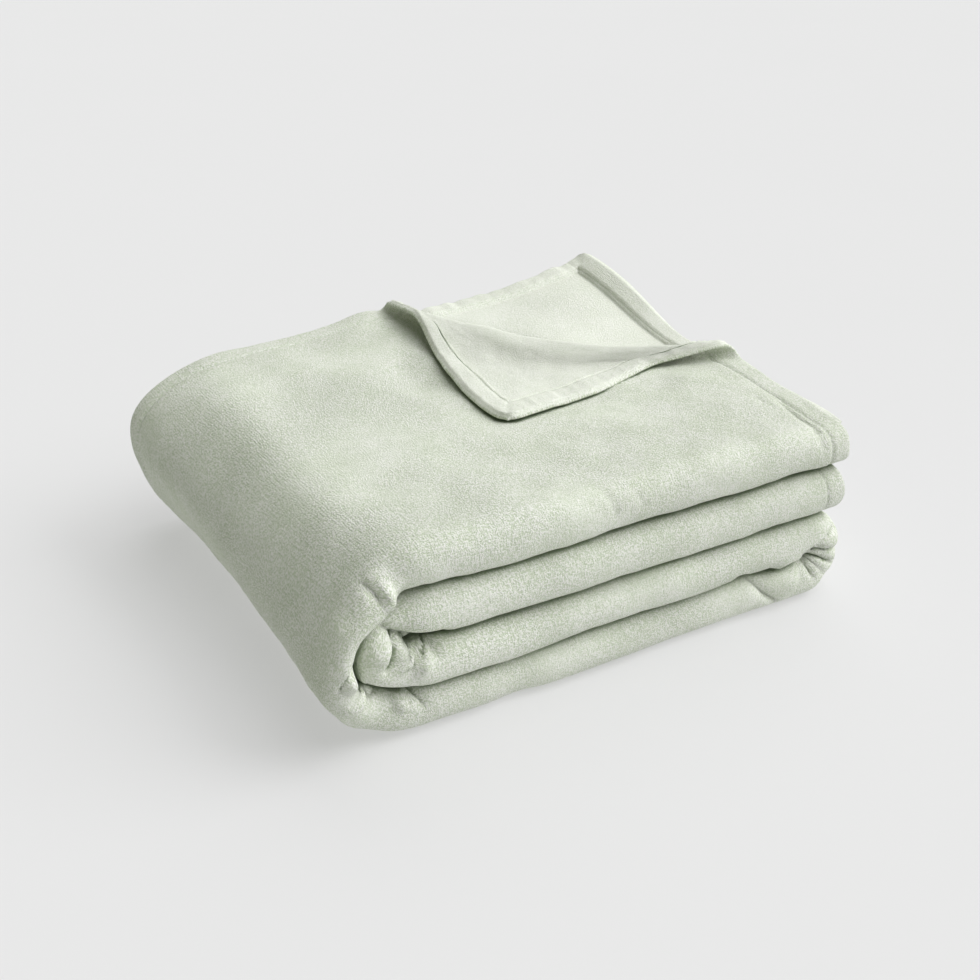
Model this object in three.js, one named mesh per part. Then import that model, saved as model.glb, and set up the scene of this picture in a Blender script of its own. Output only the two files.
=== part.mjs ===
// A hemmed woven throw, folded in half twice across its width and twice along its length.
// Millimetres, z up. x runs along the pack (free ends at +x), y from the front folds (-y) to the back.
import * as THREE from "three";

// Outer size of the folded pack.
const PACK_LONG = 386;
const PACK_WIDE = 328;
const PACK_HIGH = 130;

// The cloth, and the hem turned to its wrong side.
const CLOTH = 2.5;
const HEM_WIDE = 18;
const HEM_EXTRA = 2.6;
const HEM_STEP = 2;
const HEM_LINES = [0, HEM_WIDE - HEM_STEP, HEM_WIDE];

// Four bands lie on each other; each holds four layers of cloth.
const BANDS = 4;
const BAND_GAP = 1.6;
const PITCH = (PACK_HIGH + BAND_GAP) / BANDS;
const LOW_BAND = PITCH / 2 - BAND_GAP / 2;
const MIDDLE = LOW_BAND + PITCH * 1.5;

// Heights of the layers above the middle of their band, and how far back each one ends.
const OUTER_LAYER = PITCH / 2 - BAND_GAP / 2 - CLOTH / 2;
const INNER_LAYER = 4.2;
const TOP_BACK = 3;
const UNDER_BACK = 2;
const BACK_FOLD = 10;
const FRONT_FOLD = 17;
const INNER_FOLD = 24;

// Where the free ends and the turns stand along the pack.
const TOP_END = 9;
const WRAP_DEEP = 66;
const RIGHT_TURN = 28;
const INNER_TURN = 3;
const SECOND_END = 8;
const WRAP_THINS = 0.45;
const INNER_MOVES = 13;

const COLOUR = 0xd3d9ca;

const front = -PACK_WIDE / 2;
const back = PACK_WIDE / 2;
const left = -PACK_LONG / 2;
const right = PACK_LONG / 2;

// A row for each soft trough or swell of the settled pack: its middle, how far it reaches
// each way and how far the cloth there moves, all as x, y, z.
const SETTLED = [
  { name: "the stack packs down", at: [0, 0, 65], reach: [900, 900, 60], move: [0, 0, -4.4] },
  { name: "shoulder sinks to the wrap", at: [-170, 60, 130], reach: [55, 220, 60], move: [0, 0, -4] },
  { name: "wrap is full at its top back", at: [-200, 120, 98], reach: [50, 150, 34], move: [-8, 0, 4] },
  { name: "wrap is slack below", at: [-195, 40, 38], reach: [50, 120, 34], move: [6, 0, 0] },
  { name: "foot of the wrap swells", at: [-190, -150, 36], reach: [50, 70, 40], move: [-7, -2, 0] },
  { name: "front left corner narrows", at: [-150, -160, 100], reach: [60, 40, 34], move: [0, 3, 1.5] },
  { name: "front left foot tucks in", at: [-140, -164, 8], reach: [60, 40, 25], move: [0, 5, 0] },
  { name: "right end droops at the front", at: [190, -160, 125], reach: [40, 30, 30], move: [0, 2, -3] },
  { name: "low right corner draws in", at: [200, -175, 20], reach: [70, 55, 40], move: [-5, 0, 0] },
  { name: "right ends draw in", at: [200, -175, 115], reach: [60, 50, 30], move: [-7, 0, 0] },
  { name: "back edge lifts to the turn", at: [-4, 168, 128], reach: [30, 40, 22], move: [0, 0, 6] },
  { name: "turn stands at the right", at: [190, -45, 140], reach: [28, 30, 22], move: [4, 0, 4] },
  { name: "last layer's right edge dips", at: [190, 30, 120], reach: [60, 45, 20], move: [-4, 0, -4] },
  { name: "lowest band hollow", at: [60, -164, 20], reach: [70, 30, 20], move: [0, 3, 0] },
];

// A row for each pucker of the front fold: the run of the strip it lies on, how far along
// that run, its half width along the strip and how deep it is drawn in.
const PUCKERS = [
  { name: "upper corner of the wrap", part: "wrap", along: 0.14, wide: 9, deep: 5 },
  { name: "lower corner of the wrap", part: "wrap", along: 0.79, wide: 9, deep: 5 },
  { name: "lowest band beside the wrap", part: "band 4", along: 0.2, wide: 14, deep: 3 },
  { name: "right turn, lower", part: "right turn", along: 0.25, wide: 6, deep: 4 },
  { name: "right turn, middle", part: "right turn", along: 0.5, wide: 6, deep: 5 },
  { name: "right turn, upper", part: "right turn", along: 0.75, wide: 6, deep: 4 },
  { name: "third band into the inner turn", part: "inner turn", along: 0.125, wide: 8, deep: 5 },
  { name: "inner turn into the second band", part: "inner turn", along: 0.875, wide: 8, deep: 5 },
];

const clamp = THREE.MathUtils.clamp;
const lerp = THREE.MathUtils.lerp;
const smooth = (x, from, to) => THREE.MathUtils.smoothstep(x, Math.min(from, to), Math.max(from, to));

// A run of evenly spaced numbers after the first end.
function run(from, to, parts) {
  return Array.from({ length: parts }, (_, i) => lerp(from, to, (i + 1) / parts));
}

// Half a turn, rounder or fuller by its power: how far out and up each step is, in parts
// of the turn's reach and height, and the direction out of the curve there.
function halfTurn(parts, power, reach = 1, height = 1) {
  return run(90, -90, parts).map((deg) => {
    const [cos, sin] = [Math.cos, Math.sin].map((wave) => wave(THREE.MathUtils.degToRad(deg)));
    const bulge = deg === -90 ? 0 : Math.pow(cos, 2 / power);
    const rise = Math.sign(sin) * Math.pow(Math.abs(sin), 2 / power);
    const out = Math.pow(bulge, power - 1) / reach;
    const up = (Math.sign(rise) * Math.pow(Math.abs(rise), power - 1)) / height;
    const long = Math.hypot(out, up);
    return { bulge, rise, out: out / long, up: up / long };
  });
}

// Adds the length run so far to each point of a path.
function measured(path, a, b) {
  let length = 0;
  return path.map((p, i) => {
    if (i) length += Math.hypot(p[a] - path[i - 1][a], p[b] - path[i - 1][b]);
    return { ...p, length };
  });
}

// Section across the strip: the top layer, the front fold, the under layer, the back
// fold, the layer above it, the inner front fold and the last layer with its free hem.
function sectionAcross() {
  const path = [];
  const add = (y, h, layer, shift) => path.push({ y, h, layer, shift });
  const topEdge = back - TOP_BACK;
  const underEdge = back + UNDER_BACK;
  const yFront = front + FRONT_FOLD;
  const yBack = back - BACK_FOLD;
  const yInner = front + INNER_FOLD;
  const bend = (OUTER_LAYER - INNER_LAYER) / 2;
  const bendAt = (OUTER_LAYER + INNER_LAYER) / 2;
  for (const d of HEM_LINES) add(topEdge - d, OUTER_LAYER, "top", 0);
  for (const y of run(topEdge - HEM_WIDE, yFront, 9)) add(y, OUTER_LAYER, "top", 0);
  for (const s of halfTurn(9, 2.3)) {
    add(yFront - (FRONT_FOLD - CLOTH / 2) * s.bulge, OUTER_LAYER * s.rise, "fold", 1);
  }
  for (const y of run(yFront, yBack, 4)) add(y, -OUTER_LAYER, "under", 2);
  for (const s of halfTurn(4, 2)) add(yBack + bend * s.bulge, -bendAt - bend * s.rise, "back fold", 3);
  for (const y of run(yBack, yInner, 4)) add(y, -INNER_LAYER, "inner", 4);
  for (const s of halfTurn(4, 2)) {
    add(yInner - INNER_LAYER * s.bulge, -INNER_LAYER * s.rise, "inner fold", 5);
  }
  for (const y of run(yInner, underEdge - HEM_WIDE, 6)) add(y, INNER_LAYER, "last", 6);
  for (const d of [HEM_WIDE - HEM_STEP, 0]) add(underEdge - d, INNER_LAYER, "last", 6);
  return measured(path, "y", "h");
}

// Middle line of the strip along the pack: band 1, the wrap round the left, band 4, the
// turn at the right, band 3, the inner turn at the left and band 2.
function lineAlong() {
  const path = [];
  const add = (x, z, nx, nz, part, wrap = 0, inner = 0) => {
    path.push({ x, z, nx, nz, part, wrap, inner });
  };
  const high = (band) => LOW_BAND + PITCH * (BANDS - band);
  const wrapX = left + WRAP_DEEP;
  const turnX = right - RIGHT_TURN;
  const innerX = wrapX + INNER_TURN;
  const start = right - TOP_END;
  const end = right - SECOND_END;
  for (const d of HEM_LINES) add(start - d, high(1), 0, 1, "band 1");
  for (const x of run(start - HEM_WIDE, wrapX, 9)) add(x, high(1), 0, 1, "band 1");
  const reach = WRAP_DEEP - PITCH / 2 + BAND_GAP / 2;
  const rise = PITCH * 1.5;
  const half = PITCH / 2;
  const drawn = (x) => smooth(-x, -innerX - 70, -innerX);
  for (const s of halfTurn(14, 2.15, reach, rise)) {
    add(wrapX - reach * s.bulge, MIDDLE + rise * s.rise, -s.out, s.up, "wrap", s.bulge);
  }
  for (const x of run(wrapX, turnX, 5)) add(x, high(4), 0, -1, "band 4");
  for (const s of halfTurn(8, 2)) {
    add(turnX + half * s.bulge, high(3.5) - half * s.rise, s.out, -s.up, "right turn");
  }
  for (const x of run(turnX, innerX, 5)) add(x, high(3), 0, 1, "band 3", 0, drawn(x));
  for (const s of halfTurn(8, 2)) {
    add(innerX - half * s.bulge, high(2.5) - half * s.rise, s.out, s.up, "inner turn", 0, 1);
  }
  for (const x of run(innerX, end - HEM_WIDE, 5)) add(x, high(2), 0, -1, "band 2", 0, drawn(x));
  for (const d of [HEM_WIDE - HEM_STEP, 0]) add(end - d, high(2), 0, -1, "band 2");
  return measured(path, "x", "z");
}

const across = sectionAcross();
const along = lineAlong();
const SHEET_WIDE = across.at(-1).length;
const SHEET_LONG = along.at(-1).length;

// Length along the sheet of each pucker.
const puckers = PUCKERS.map((row) => {
  const lengths = along.filter((p) => p.part === row.part).map((p) => p.length);
  return { ...row, v: lerp(lengths[0], lengths.at(-1), row.along) };
});

// The point of a measured path at a length, by straight steps between its points.
function at(path, length, keys) {
  let i = 1;
  while (i < path.length - 1 && path[i].length < length) i += 1;
  const a = path[i - 1];
  const b = path[i];
  const t = clamp((length - a.length) / (b.length - a.length), 0, 1);
  const out = {};
  for (const key of keys) out[key] = lerp(a[key], b[key], t);
  return out;
}

// Where a point of the flat sheet lies in the folded pack; u across, v along the sheet.
// Towards the front the wrap is pulled thin and the inner turn fills the room it leaves.
function folded(u, v) {
  const s = at(across, u, ["y", "h", "shift"]);
  const line = at(along, v, ["x", "z", "nx", "nz", "wrap", "inner"]);
  const long = Math.hypot(line.nx, line.nz);
  const near = smooth(-s.y, -110, 60);
  const h = OUTER_LAYER - (OUTER_LAYER - s.h) * (1 - WRAP_THINS * line.wrap * near);
  const p = new THREE.Vector3(line.x + (line.nx / long) * h, s.y, line.z + (line.nz / long) * h);
  p.x -= INNER_MOVES * line.inner * near;
  const lobe = 1 - smooth(s.y, front, front + 45);
  for (const row of puckers) p.y += row.deep * lobe * Math.exp(-(((v - row.v) / row.wide) ** 2));
  p.x += 1.5 * s.shift * (1 - smooth(v, 0, 140));
  return p;
}

// The corner of the top layer is turned back over the pack. Plan positions are sheet
// positions here: x = start - v and y = edge - u.
const EDGE_X = right - TOP_END;
const EDGE_Y = back - TOP_BACK;
const TURN_A = new THREE.Vector2(4, EDGE_Y);
const TURN_B = new THREE.Vector2(EDGE_X, -48);
const TURN_BOW = 30;
const TIP = new THREE.Vector2(-9, -52);
const FLAP_RIGHT_BOW = 24;
const FLAP_LEFT_BOW = 13;
const TURN_LONG = TURN_A.distanceTo(TURN_B);
const turnAlong = TURN_B.clone().sub(TURN_A).normalize();
const turnOut = new THREE.Vector2(-turnAlong.y, turnAlong.x);
const cornerOf = new THREE.Vector2(EDGE_X, EDGE_Y).sub(TURN_A);
const CORNER_E = cornerOf.dot(turnAlong) / TURN_LONG;
const CORNER_S = cornerOf.dot(turnOut);

// Radius of the roll along the turn, as a row for each place from its back to its right end.
const ROLL = [
  { e: -0.1, radius: 3.6 },
  { e: 0.0, radius: 3.8 },
  { e: 0.12, radius: 6.5 },
  { e: 0.5, radius: 6.5 },
  { e: 0.85, radius: 5.6 },
  { e: 1.1, radius: 6.2 },
];

function rollRadius(e) {
  let i = 1;
  while (i < ROLL.length - 1 && ROLL[i].e < e) i += 1;
  const t = clamp((e - ROLL[i - 1].e) / (ROLL[i].e - ROLL[i - 1].e), 0, 1);
  return lerp(ROLL[i - 1].radius, ROLL[i].radius, t * t * (3 - 2 * t));
}

const bowAt = (e) => TURN_BOW * 4 * clamp(e, 0, 1) * (1 - clamp(e, 0, 1));
const flapStart = (e) => Math.PI * rollRadius(e) - bowAt(e);

// Sheet position from the place along the turn and the distance beyond its straight line.
function sheetAt(e, s) {
  const p = TURN_A.clone().addScaledVector(turnAlong, e * TURN_LONG).addScaledVector(turnOut, s);
  return { u: EDGE_Y - p.y, v: EDGE_X - p.x };
}

// The turned corner: a roll over the turn line, then the flap lying on the top layer.
function turnedBack(u, v, base) {
  const rel = new THREE.Vector2(EDGE_X - v, EDGE_Y - u).sub(TURN_A);
  const e = rel.dot(turnAlong) / TURN_LONG;
  const s = rel.dot(turnOut);
  const beyond = s + bowAt(e);
  if (beyond <= 0) return base;
  const r = rollRadius(e);
  const axis = TURN_A.clone().addScaledVector(turnAlong, e * TURN_LONG).addScaledVector(turnOut, -bowAt(e));
  if (s < flapStart(e)) {
    const angle = beyond / r;
    axis.addScaledVector(turnOut, r * Math.sin(angle));
    return new THREE.Vector3(axis.x, axis.y, base.z + r * (1 - Math.cos(angle)));
  }
  const c = clamp((s - flapStart(e)) / (CORNER_S - flapStart(e)), 0, 1);
  const b = clamp(e - CORNER_E * c, -0.1, 1.1);
  const a = 1 - c - b;
  const p = new THREE.Vector2();
  p.addScaledVector(TURN_A, a).addScaledVector(TURN_B, b).addScaledVector(TIP, c);
  p.addScaledVector(turnOut, -TURN_BOW * 4 * Math.max(a * b, 0));
  p.addScaledVector(turnOut, FLAP_RIGHT_BOW * 4 * Math.max(b * c, 0));
  p.x -= FLAP_LEFT_BOW * 4 * Math.max(a * c, 0);
  const rest = CLOTH + 0.8;
  let lift = lerp(2 * r, rest, smooth(c, 0, 0.55));
  lift += 7 * Math.exp(-(((c - 0.2) / 0.14) ** 2) - (b / 0.12) ** 2);
  lift += 2.5 * Math.exp(-(((c - 0.22) / 0.16) ** 2) - (a / 0.16) ** 2);
  return new THREE.Vector3(p.x, p.y, base.z + lift);
}

// The last layer's corner, bared by the turned one, curls up with its right hem.
function curled(u, v, p) {
  const du = SHEET_WIDE - u;
  if (du > 300 || v > 240) return p;
  const rel = new THREE.Vector2(p.x, p.y).sub(TURN_A);
  const beyond = rel.dot(turnOut) + bowAt(rel.dot(turnAlong) / TURN_LONG);
  p.z += 6 * smooth(beyond, 8, 45) * (1 - smooth(du, 40, 150) * (1 - smooth(v, 30, 120)));
  p.z += 12 * Math.exp(-((du / 75) ** 2) - (v / 60) ** 2);
  p.z += 6 * (1 - smooth(v, 0, HEM_WIDE + 4)) * (1 - smooth(du, 60, 150));
  p.y += 4 * Math.exp(-((du / 40) ** 2) - (v / 60) ** 2);
  return p;
}

// Adds the settled swells and troughs; what touches the table stays on it.
function settled(p) {
  const out = p.toArray();
  const held = [1, 1, smooth(p.z, 1, 30)];
  for (const { at: middle, reach, move } of SETTLED) {
    const far = p.toArray().reduce((sum, value, k) => sum + ((value - middle[k]) / reach[k]) ** 2, 0);
    for (const k of [0, 1, 2]) out[k] += move[k] * Math.exp(-far) * held[k];
  }
  return new THREE.Vector3(...out);
}

// A sheet point's place in the finished pack.
function placed(u, v) {
  let p = folded(u, v);
  if (u < PANEL_U + 1 && v < PANEL_V + 1) p = turnedBack(u, v, p);
  return settled(curled(u, v, p));
}

const us = across.map((p) => p.length);
const vs = along.map((p) => p.length);
const PANEL_U = us[11];
const PANEL_V = vs[9];

// Points of the flat sheet, shared by key so that the panel and the grid meet.
const points = [];
const keys = new Map();
function pointAt(u, v) {
  const key = `${u.toFixed(3)},${v.toFixed(3)}`;
  if (!keys.has(key)) {
    keys.set(key, points.length);
    points.push({ u, v });
  }
  return keys.get(key);
}

// Triangles over scattered points of the flat sheet: each circle round one is empty.
function triangulated(list) {
  const far = 1e5;
  const nodes = [...list, { u: -far, v: -far }, { u: far, v: -far }, { u: 0, v: far }];
  const n = list.length;
  const circle = (a, b, c) => {
    const [p, q, r] = [nodes[a], nodes[b], nodes[c]];
    const d = 2 * (p.u * (q.v - r.v) + q.u * (r.v - p.v) + r.u * (p.v - q.v));
    const [pp, qq, rr] = [p, q, r].map((k) => k.u * k.u + k.v * k.v);
    const u = (pp * (q.v - r.v) + qq * (r.v - p.v) + rr * (p.v - q.v)) / d;
    const v = (pp * (r.u - q.u) + qq * (p.u - r.u) + rr * (q.u - p.u)) / d;
    return { a, b, c, u, v, rr: (p.u - u) ** 2 + (p.v - v) ** 2 };
  };
  let triangles = [circle(n, n + 1, n + 2)];
  for (let i = 0; i < n; i += 1) {
    const edges = new Map();
    const kept = [];
    for (const t of triangles) {
      const inside = (nodes[i].u - t.u) ** 2 + (nodes[i].v - t.v) ** 2 < t.rr - 1e-7;
      if (!inside) {
        kept.push(t);
        continue;
      }
      for (const [a, b] of [[t.a, t.b], [t.b, t.c], [t.c, t.a]]) {
        const key = a < b ? `${a}-${b}` : `${b}-${a}`;
        if (edges.has(key)) edges.delete(key);
        else edges.set(key, [a, b]);
      }
    }
    triangles = kept;
    for (const [a, b] of edges.values()) triangles.push(circle(a, b, i));
  }
  return triangles.filter((t) => Math.max(t.a, t.b, t.c) < n).map((t) => [t.a, t.b, t.c]);
}

// Rows of the corner panel, each a distance beyond the turn's straight line: the flat
// before it, the roll and the flap.
const FLAP_ROWS = [0.1, 0.22, 0.36, 0.52, 0.68, 0.84];
const panelRows = [
  ...[-26, -9, 0].map((d) => (e) => d - bowAt(e)),
  ...run(0, 1, 7).map((t) => (e) => t * Math.PI * rollRadius(e) - bowAt(e)),
  ...FLAP_ROWS.map((c) => (e) => lerp(flapStart(e), CORNER_S, c)),
];

// Rungs across the hem beside one edge of the panel, from the mitred corner outwards. They
// lean with the rows where the roll crosses the hem. "u" runs beside the edge u = 0.
function hemRungs(edge) {
  const [end, lean] = edge === "u" ? [PANEL_V, 0.78] : [PANEL_U, 1.27];
  const point = (d, deep) => (edge === "u" ? { u: deep, v: d } : { u: d, v: deep });
  const places = [];
  for (const row of panelRows) {
    let e = edge === "u" ? 0 : 1;
    for (let k = 0; k < 60; k += 1) {
      const here = sheetAt(e, row(e))[edge];
      const slope = (sheetAt(e + 1e-4, row(e + 1e-4))[edge] - here) * 1e4;
      e += clamp((HEM_WIDE - here) / slope, -0.1, 0.1);
    }
    const found = sheetAt(e, row(e));
    const place = edge === "u" ? found.v : found.u;
    if (Math.abs(found[edge] - HEM_WIDE) < 0.01 && place > HEM_WIDE + 6) places.push(place);
  }
  places.sort((a, b) => a - b);
  const last = places.at(-1);
  const all = [HEM_WIDE, ...places, end];
  for (let i = 1; i < all.length; i += 1) {
    if (all[i] - all[i - 1] > 34) all.splice(i, 0, (all[i] + all[i - 1]) / 2);
  }
  const kept = all.filter((d, i) => !i || d - all[i - 1] > 1.5 || d === end);
  return kept.map((d) => {
    const rising = lerp(-1, lean, clamp((d - HEM_WIDE) / 90, 0, 1));
    const falling = lerp(lean, 0, clamp((d - last) / (end - last), 0, 1));
    return HEM_LINES.map((deep) => point(d + (HEM_WIDE - deep) * Math.min(rising, falling), deep));
  });
}

// The scattered points of the panel inside its hems.
function panelPoints(rungs) {
  const list = rungs.map((rung) => rung[2]);
  const add = (u, v) => list.push({ u, v });
  const spaced = (u, v, gap) => list.every((p) => Math.hypot(p.u - u, p.v - v) > gap);
  for (const u of us) if (u > HEM_WIDE + 1 && u <= PANEL_U + 1e-6) add(u, PANEL_V);
  for (const v of vs) if (v > HEM_WIDE + 1 && v < PANEL_V - 1e-6) add(PANEL_U, v);
  for (const row of panelRows) {
    for (const e of run(-0.05, 1.05, 17)) {
      const p = sheetAt(e, row(e));
      const clear = Math.min(p.u, p.v) > HEM_WIDE + 4 && p.u < PANEL_U - 8 && p.v < PANEL_V - 8;
      if (clear && spaced(p.u, p.v, 2.2)) add(p.u, p.v);
    }
  }
  for (const u of run(HEM_WIDE, PANEL_U, 8)) {
    for (const v of run(HEM_WIDE, PANEL_V, 7)) {
      const rel = new THREE.Vector2(EDGE_X - v, EDGE_Y - u).sub(TURN_A);
      const flat = rel.dot(turnOut) + bowAt(rel.dot(turnAlong) / TURN_LONG) < -20;
      const clear = flat && u < PANEL_U - 12 && v < PANEL_V - 12 && spaced(u, v, 17);
      if (clear) add(u + v / 9700, v);
    }
  }
  return list;
}

// The mid surface's triangles: the grid, with the panel in its place.
function middleTriangles() {
  const out = [];
  for (let i = 0; i < us.length - 1; i += 1) {
    for (let j = 0; j < vs.length - 1; j += 1) {
      if (us[i + 1] <= PANEL_U + 1e-6 && vs[j + 1] <= PANEL_V + 1e-6) continue;
      const [a, b] = [pointAt(us[i], vs[j]), pointAt(us[i + 1], vs[j])];
      const [c, d] = [pointAt(us[i + 1], vs[j + 1]), pointAt(us[i], vs[j + 1])];
      if ((i + j) % 2) out.push([a, b, c], [a, c, d]);
      else out.push([a, b, d], [b, c, d]);
    }
  }
  const ladders = [hemRungs("u"), hemRungs("v")];
  ladders.forEach((rungs, side) => {
    for (let k = 1; k < rungs.length; k += 1) {
      for (const m of [0, 1]) {
        const corners = [rungs[k - 1][m], rungs[k - 1][m + 1], rungs[k][m + 1], rungs[k][m]];
        const [a, b, c, d] = corners.map((p) => pointAt(p.u, p.v));
        if (side) out.push([a, c, b], [a, d, c]);
        else out.push([a, b, c], [a, c, d]);
      }
    }
  });
  const list = panelPoints([...ladders[0], ...ladders[1].slice(1)]);
  const ids = list.map((p) => pointAt(p.u, p.v));
  for (const [a, b, c] of triangulated(list)) {
    const [p, q, r] = [list[a], list[b], list[c]];
    const area = (q.u - p.u) * (r.v - p.v) - (q.v - p.v) * (r.u - p.u);
    if (Math.abs(area) < 1e-3) continue;
    out.push(area > 0 ? [ids[a], ids[b], ids[c]] : [ids[a], ids[c], ids[b]]);
  }
  return out;
}

// How far the wrong side stands off the middle: the hem is three cloths thick.
function wrongSide({ u, v }) {
  const edge = Math.min(u, v, SHEET_WIDE - u, SHEET_LONG - v);
  return CLOTH / 2 + (edge < HEM_WIDE - HEM_STEP / 2 ? HEM_EXTRA : 0);
}

// Both faces of the cloth and its rim, as one closed body that stands on the origin.
function throwGeometry() {
  const triangles = middleTriangles();
  const middle = points.map((p) => placed(p.u, p.v));
  const normals = points.map(() => new THREE.Vector3());
  for (const [a, b, c] of triangles) {
    const n = middle[b].clone().sub(middle[a]).cross(middle[c].clone().sub(middle[a]));
    for (const k of [a, b, c]) {
      const [p, q] = [a, b, c].filter((m) => m !== k).map((m) => middle[m].clone().sub(middle[k]));
      normals[k].addScaledVector(n.clone().normalize(), p.angleTo(q));
    }
  }
  normals.forEach((n) => n.normalize());
  const wrong = middle.map((p, i) => p.clone().addScaledVector(normals[i], wrongSide(points[i])));
  const faceSide = middle.map((p, i) => p.clone().addScaledVector(normals[i], -CLOTH / 2));
  const count = points.length;
  const index = [];
  const open = new Map();
  for (const [a, b, c] of triangles) {
    index.push(a, b, c, count + a, count + c, count + b);
    for (const [p, q] of [[a, b], [b, c], [c, a]]) {
      if (open.has(`${q},${p}`)) open.delete(`${q},${p}`);
      else open.set(`${p},${q}`, [p, q]);
    }
  }
  for (const [p, q] of open.values()) index.push(p, count + p, q, q, count + p, count + q);
  const geometry = new THREE.BufferGeometry();
  const flat = [...wrong, ...faceSide].flatMap((p) => [p.x, p.y, p.z]);
  geometry.setAttribute("position", new THREE.Float32BufferAttribute(flat, 3));
  geometry.setIndex(index);
  geometry.computeBoundingBox();
  const { min, max } = geometry.boundingBox;
  geometry.translate(-(min.x + max.x) / 2, -(min.y + max.y) / 2, -min.z);
  geometry.computeVertexNormals();
  return geometry;
}

const cloth = new THREE.MeshStandardMaterial({ color: COLOUR, roughness: 0.95, metalness: 0 });
const throwMesh = new THREE.Mesh(throwGeometry(), cloth);
throwMesh.name = "throw";

const part = new THREE.Group();
part.name = "multipurpose_throw";
part.add(throwMesh);

export default part;
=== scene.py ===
"""A folded multipurpose throw: one hemmed woven cloth, its sewing, and a plain studio."""
import logging
import math
from bisect import bisect_left, bisect_right
from collections.abc import Callable, Sequence
from dataclasses import dataclass, field
from enum import Enum

import bpy
import numpy as np
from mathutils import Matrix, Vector
from mathutils.bvhtree import BVHTree


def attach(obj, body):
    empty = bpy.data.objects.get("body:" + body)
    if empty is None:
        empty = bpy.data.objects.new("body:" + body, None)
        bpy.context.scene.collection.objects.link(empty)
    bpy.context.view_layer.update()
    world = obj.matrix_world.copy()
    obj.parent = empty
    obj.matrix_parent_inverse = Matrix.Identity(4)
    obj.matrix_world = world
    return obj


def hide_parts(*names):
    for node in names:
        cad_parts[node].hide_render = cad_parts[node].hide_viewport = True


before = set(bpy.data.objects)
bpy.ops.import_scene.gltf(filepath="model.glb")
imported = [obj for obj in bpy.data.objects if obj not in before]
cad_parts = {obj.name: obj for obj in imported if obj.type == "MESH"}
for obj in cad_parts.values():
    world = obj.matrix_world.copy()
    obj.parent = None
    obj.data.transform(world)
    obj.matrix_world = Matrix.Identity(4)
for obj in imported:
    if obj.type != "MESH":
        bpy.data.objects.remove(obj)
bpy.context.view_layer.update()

log = logging.getLogger("throw")

Array = np.ndarray
Pair = tuple[float, float]
Colour = tuple[float, float, float, float]
Surface = Callable[[Array, Array], Array]
Feed = bpy.types.NodeSocket | bpy.types.ID | float | str | Colour

MM = 0.001
BODY = "root"


class Layer(Enum):
    """The layers of the strip, from the top of a band round to its last layer."""

    TOP = "top"
    FRONT_FOLD = "front fold"
    UNDER = "under"
    BACK_FOLD = "back fold"
    INNER = "inner"
    INNER_FOLD = "inner fold"
    LAST = "last"


class Run(Enum):
    """The runs of the strip along the pack, from its free end."""

    BAND_1 = "band 1"
    WRAP = "wrap"
    BAND_4 = "band 4"
    RIGHT_TURN = "right turn"
    BAND_3 = "band 3"
    INNER_TURN = "inner turn"
    BAND_2 = "band 2"


class Side(Enum):
    """The two sides of the cloth; the hems are turned to the wrong one."""

    WRONG = 1
    FACE = -1


def smooth(x: Array, low: float, high: float) -> Array:
    """Rises from 0 at low to 1 at high along a soft step."""
    t = np.clip((x - low) / (high - low), 0.0, 1.0)
    return t * t * (3.0 - 2.0 * t)


def bell(x: Array, wide: float) -> Array:
    """A bell of height 1 that has fallen to 1/e at wide."""
    return np.exp(-((x / wide) ** 2))


def mix(a: Array, b: Array, t: Array) -> Array:
    """Goes from a to b as t goes from 0 to 1."""
    return a + (b - a) * t


def wavy(x: Array, short: float, drift: float, long: float) -> Array:
    """A fine wave of a short length that drifts to and fro over a long one."""
    return np.sin(x / short + drift * np.sin(x / long))


def late_wave(x: Array, long: float) -> Array:
    """A plain wave that starts a radian late."""
    return np.sin(x / long + 1.0)


def curve(x: Array, knots: Sequence[float], values: Sequence[float]) -> Array:
    """A smooth curve through values at knots, level beyond them.

    Args:
        x: where it is read.
        knots: rising places.
        values: its height at each of them.

    Returns:
        Its height at x.
    """
    at, high = np.array(knots, float), np.array(values, float)
    slope = np.gradient(high, at)
    k = np.clip(np.searchsorted(at, x) - 1, 0, len(at) - 2)
    gap = at[k + 1] - at[k]
    t = np.clip((x - at[k]) / gap, 0, 1)
    rise = t * t * (3 - 2 * t)
    bend = t * (1 - t) * ((1 - t) * slope[k] - t * slope[k + 1]) * gap
    return mix(high[k], high[k + 1], rise) + bend


def steps(start: float, end: float, gap: float) -> list[float]:
    """Evenly spaced places from start to end, about gap apart, both ends among them."""
    count = max(1, round(abs(end - start) / gap))
    return [float(x) for x in np.linspace(start, end, count + 1)]


@dataclass
class FoldLine:
    """A path in one plane with named columns and the length run at each of its points.

    Args:
        axes: the two columns that lie in the plane.
    """

    axes: tuple[str, str]
    rows: list[dict[str, float]] = field(default_factory=list)
    spans: dict[Enum, list[int]] = field(default_factory=dict)
    columns: dict[str, Array] = field(default_factory=dict)

    def add(self, part: Enum, **values: float) -> None:
        """Adds a point that belongs to a part."""
        self.spans.setdefault(part, [len(self.rows), 0])[1] = len(self.rows)
        self.rows.append(values)

    def close(self) -> "FoldLine":
        """Works out the columns and the lengths once every point is there.

        Returns:
            The line itself.
        """
        self.columns = {k: np.array([row[k] for row in self.rows]) for k in self.rows[0]}
        a, b = (self.columns[k] for k in self.axes)
        long = np.hypot(np.diff(a), np.diff(b))
        self.columns["length"] = np.concatenate([[0.0], np.cumsum(long)])
        return self

    def at(self, length: Array, name: str) -> Array:
        """The value of a column at lengths along the path."""
        return np.interp(length, self.columns["length"], self.columns[name])

    def span(self, part: Enum) -> Pair:
        """The lengths where a part begins and ends."""
        first, last = self.spans[part]
        lengths = self.columns["length"]
        return float(lengths[max(first - 1, 0)]), float(lengths[last])

    @property
    def long(self) -> float:
        """The whole length."""
        return float(self.columns["length"][-1])


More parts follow.
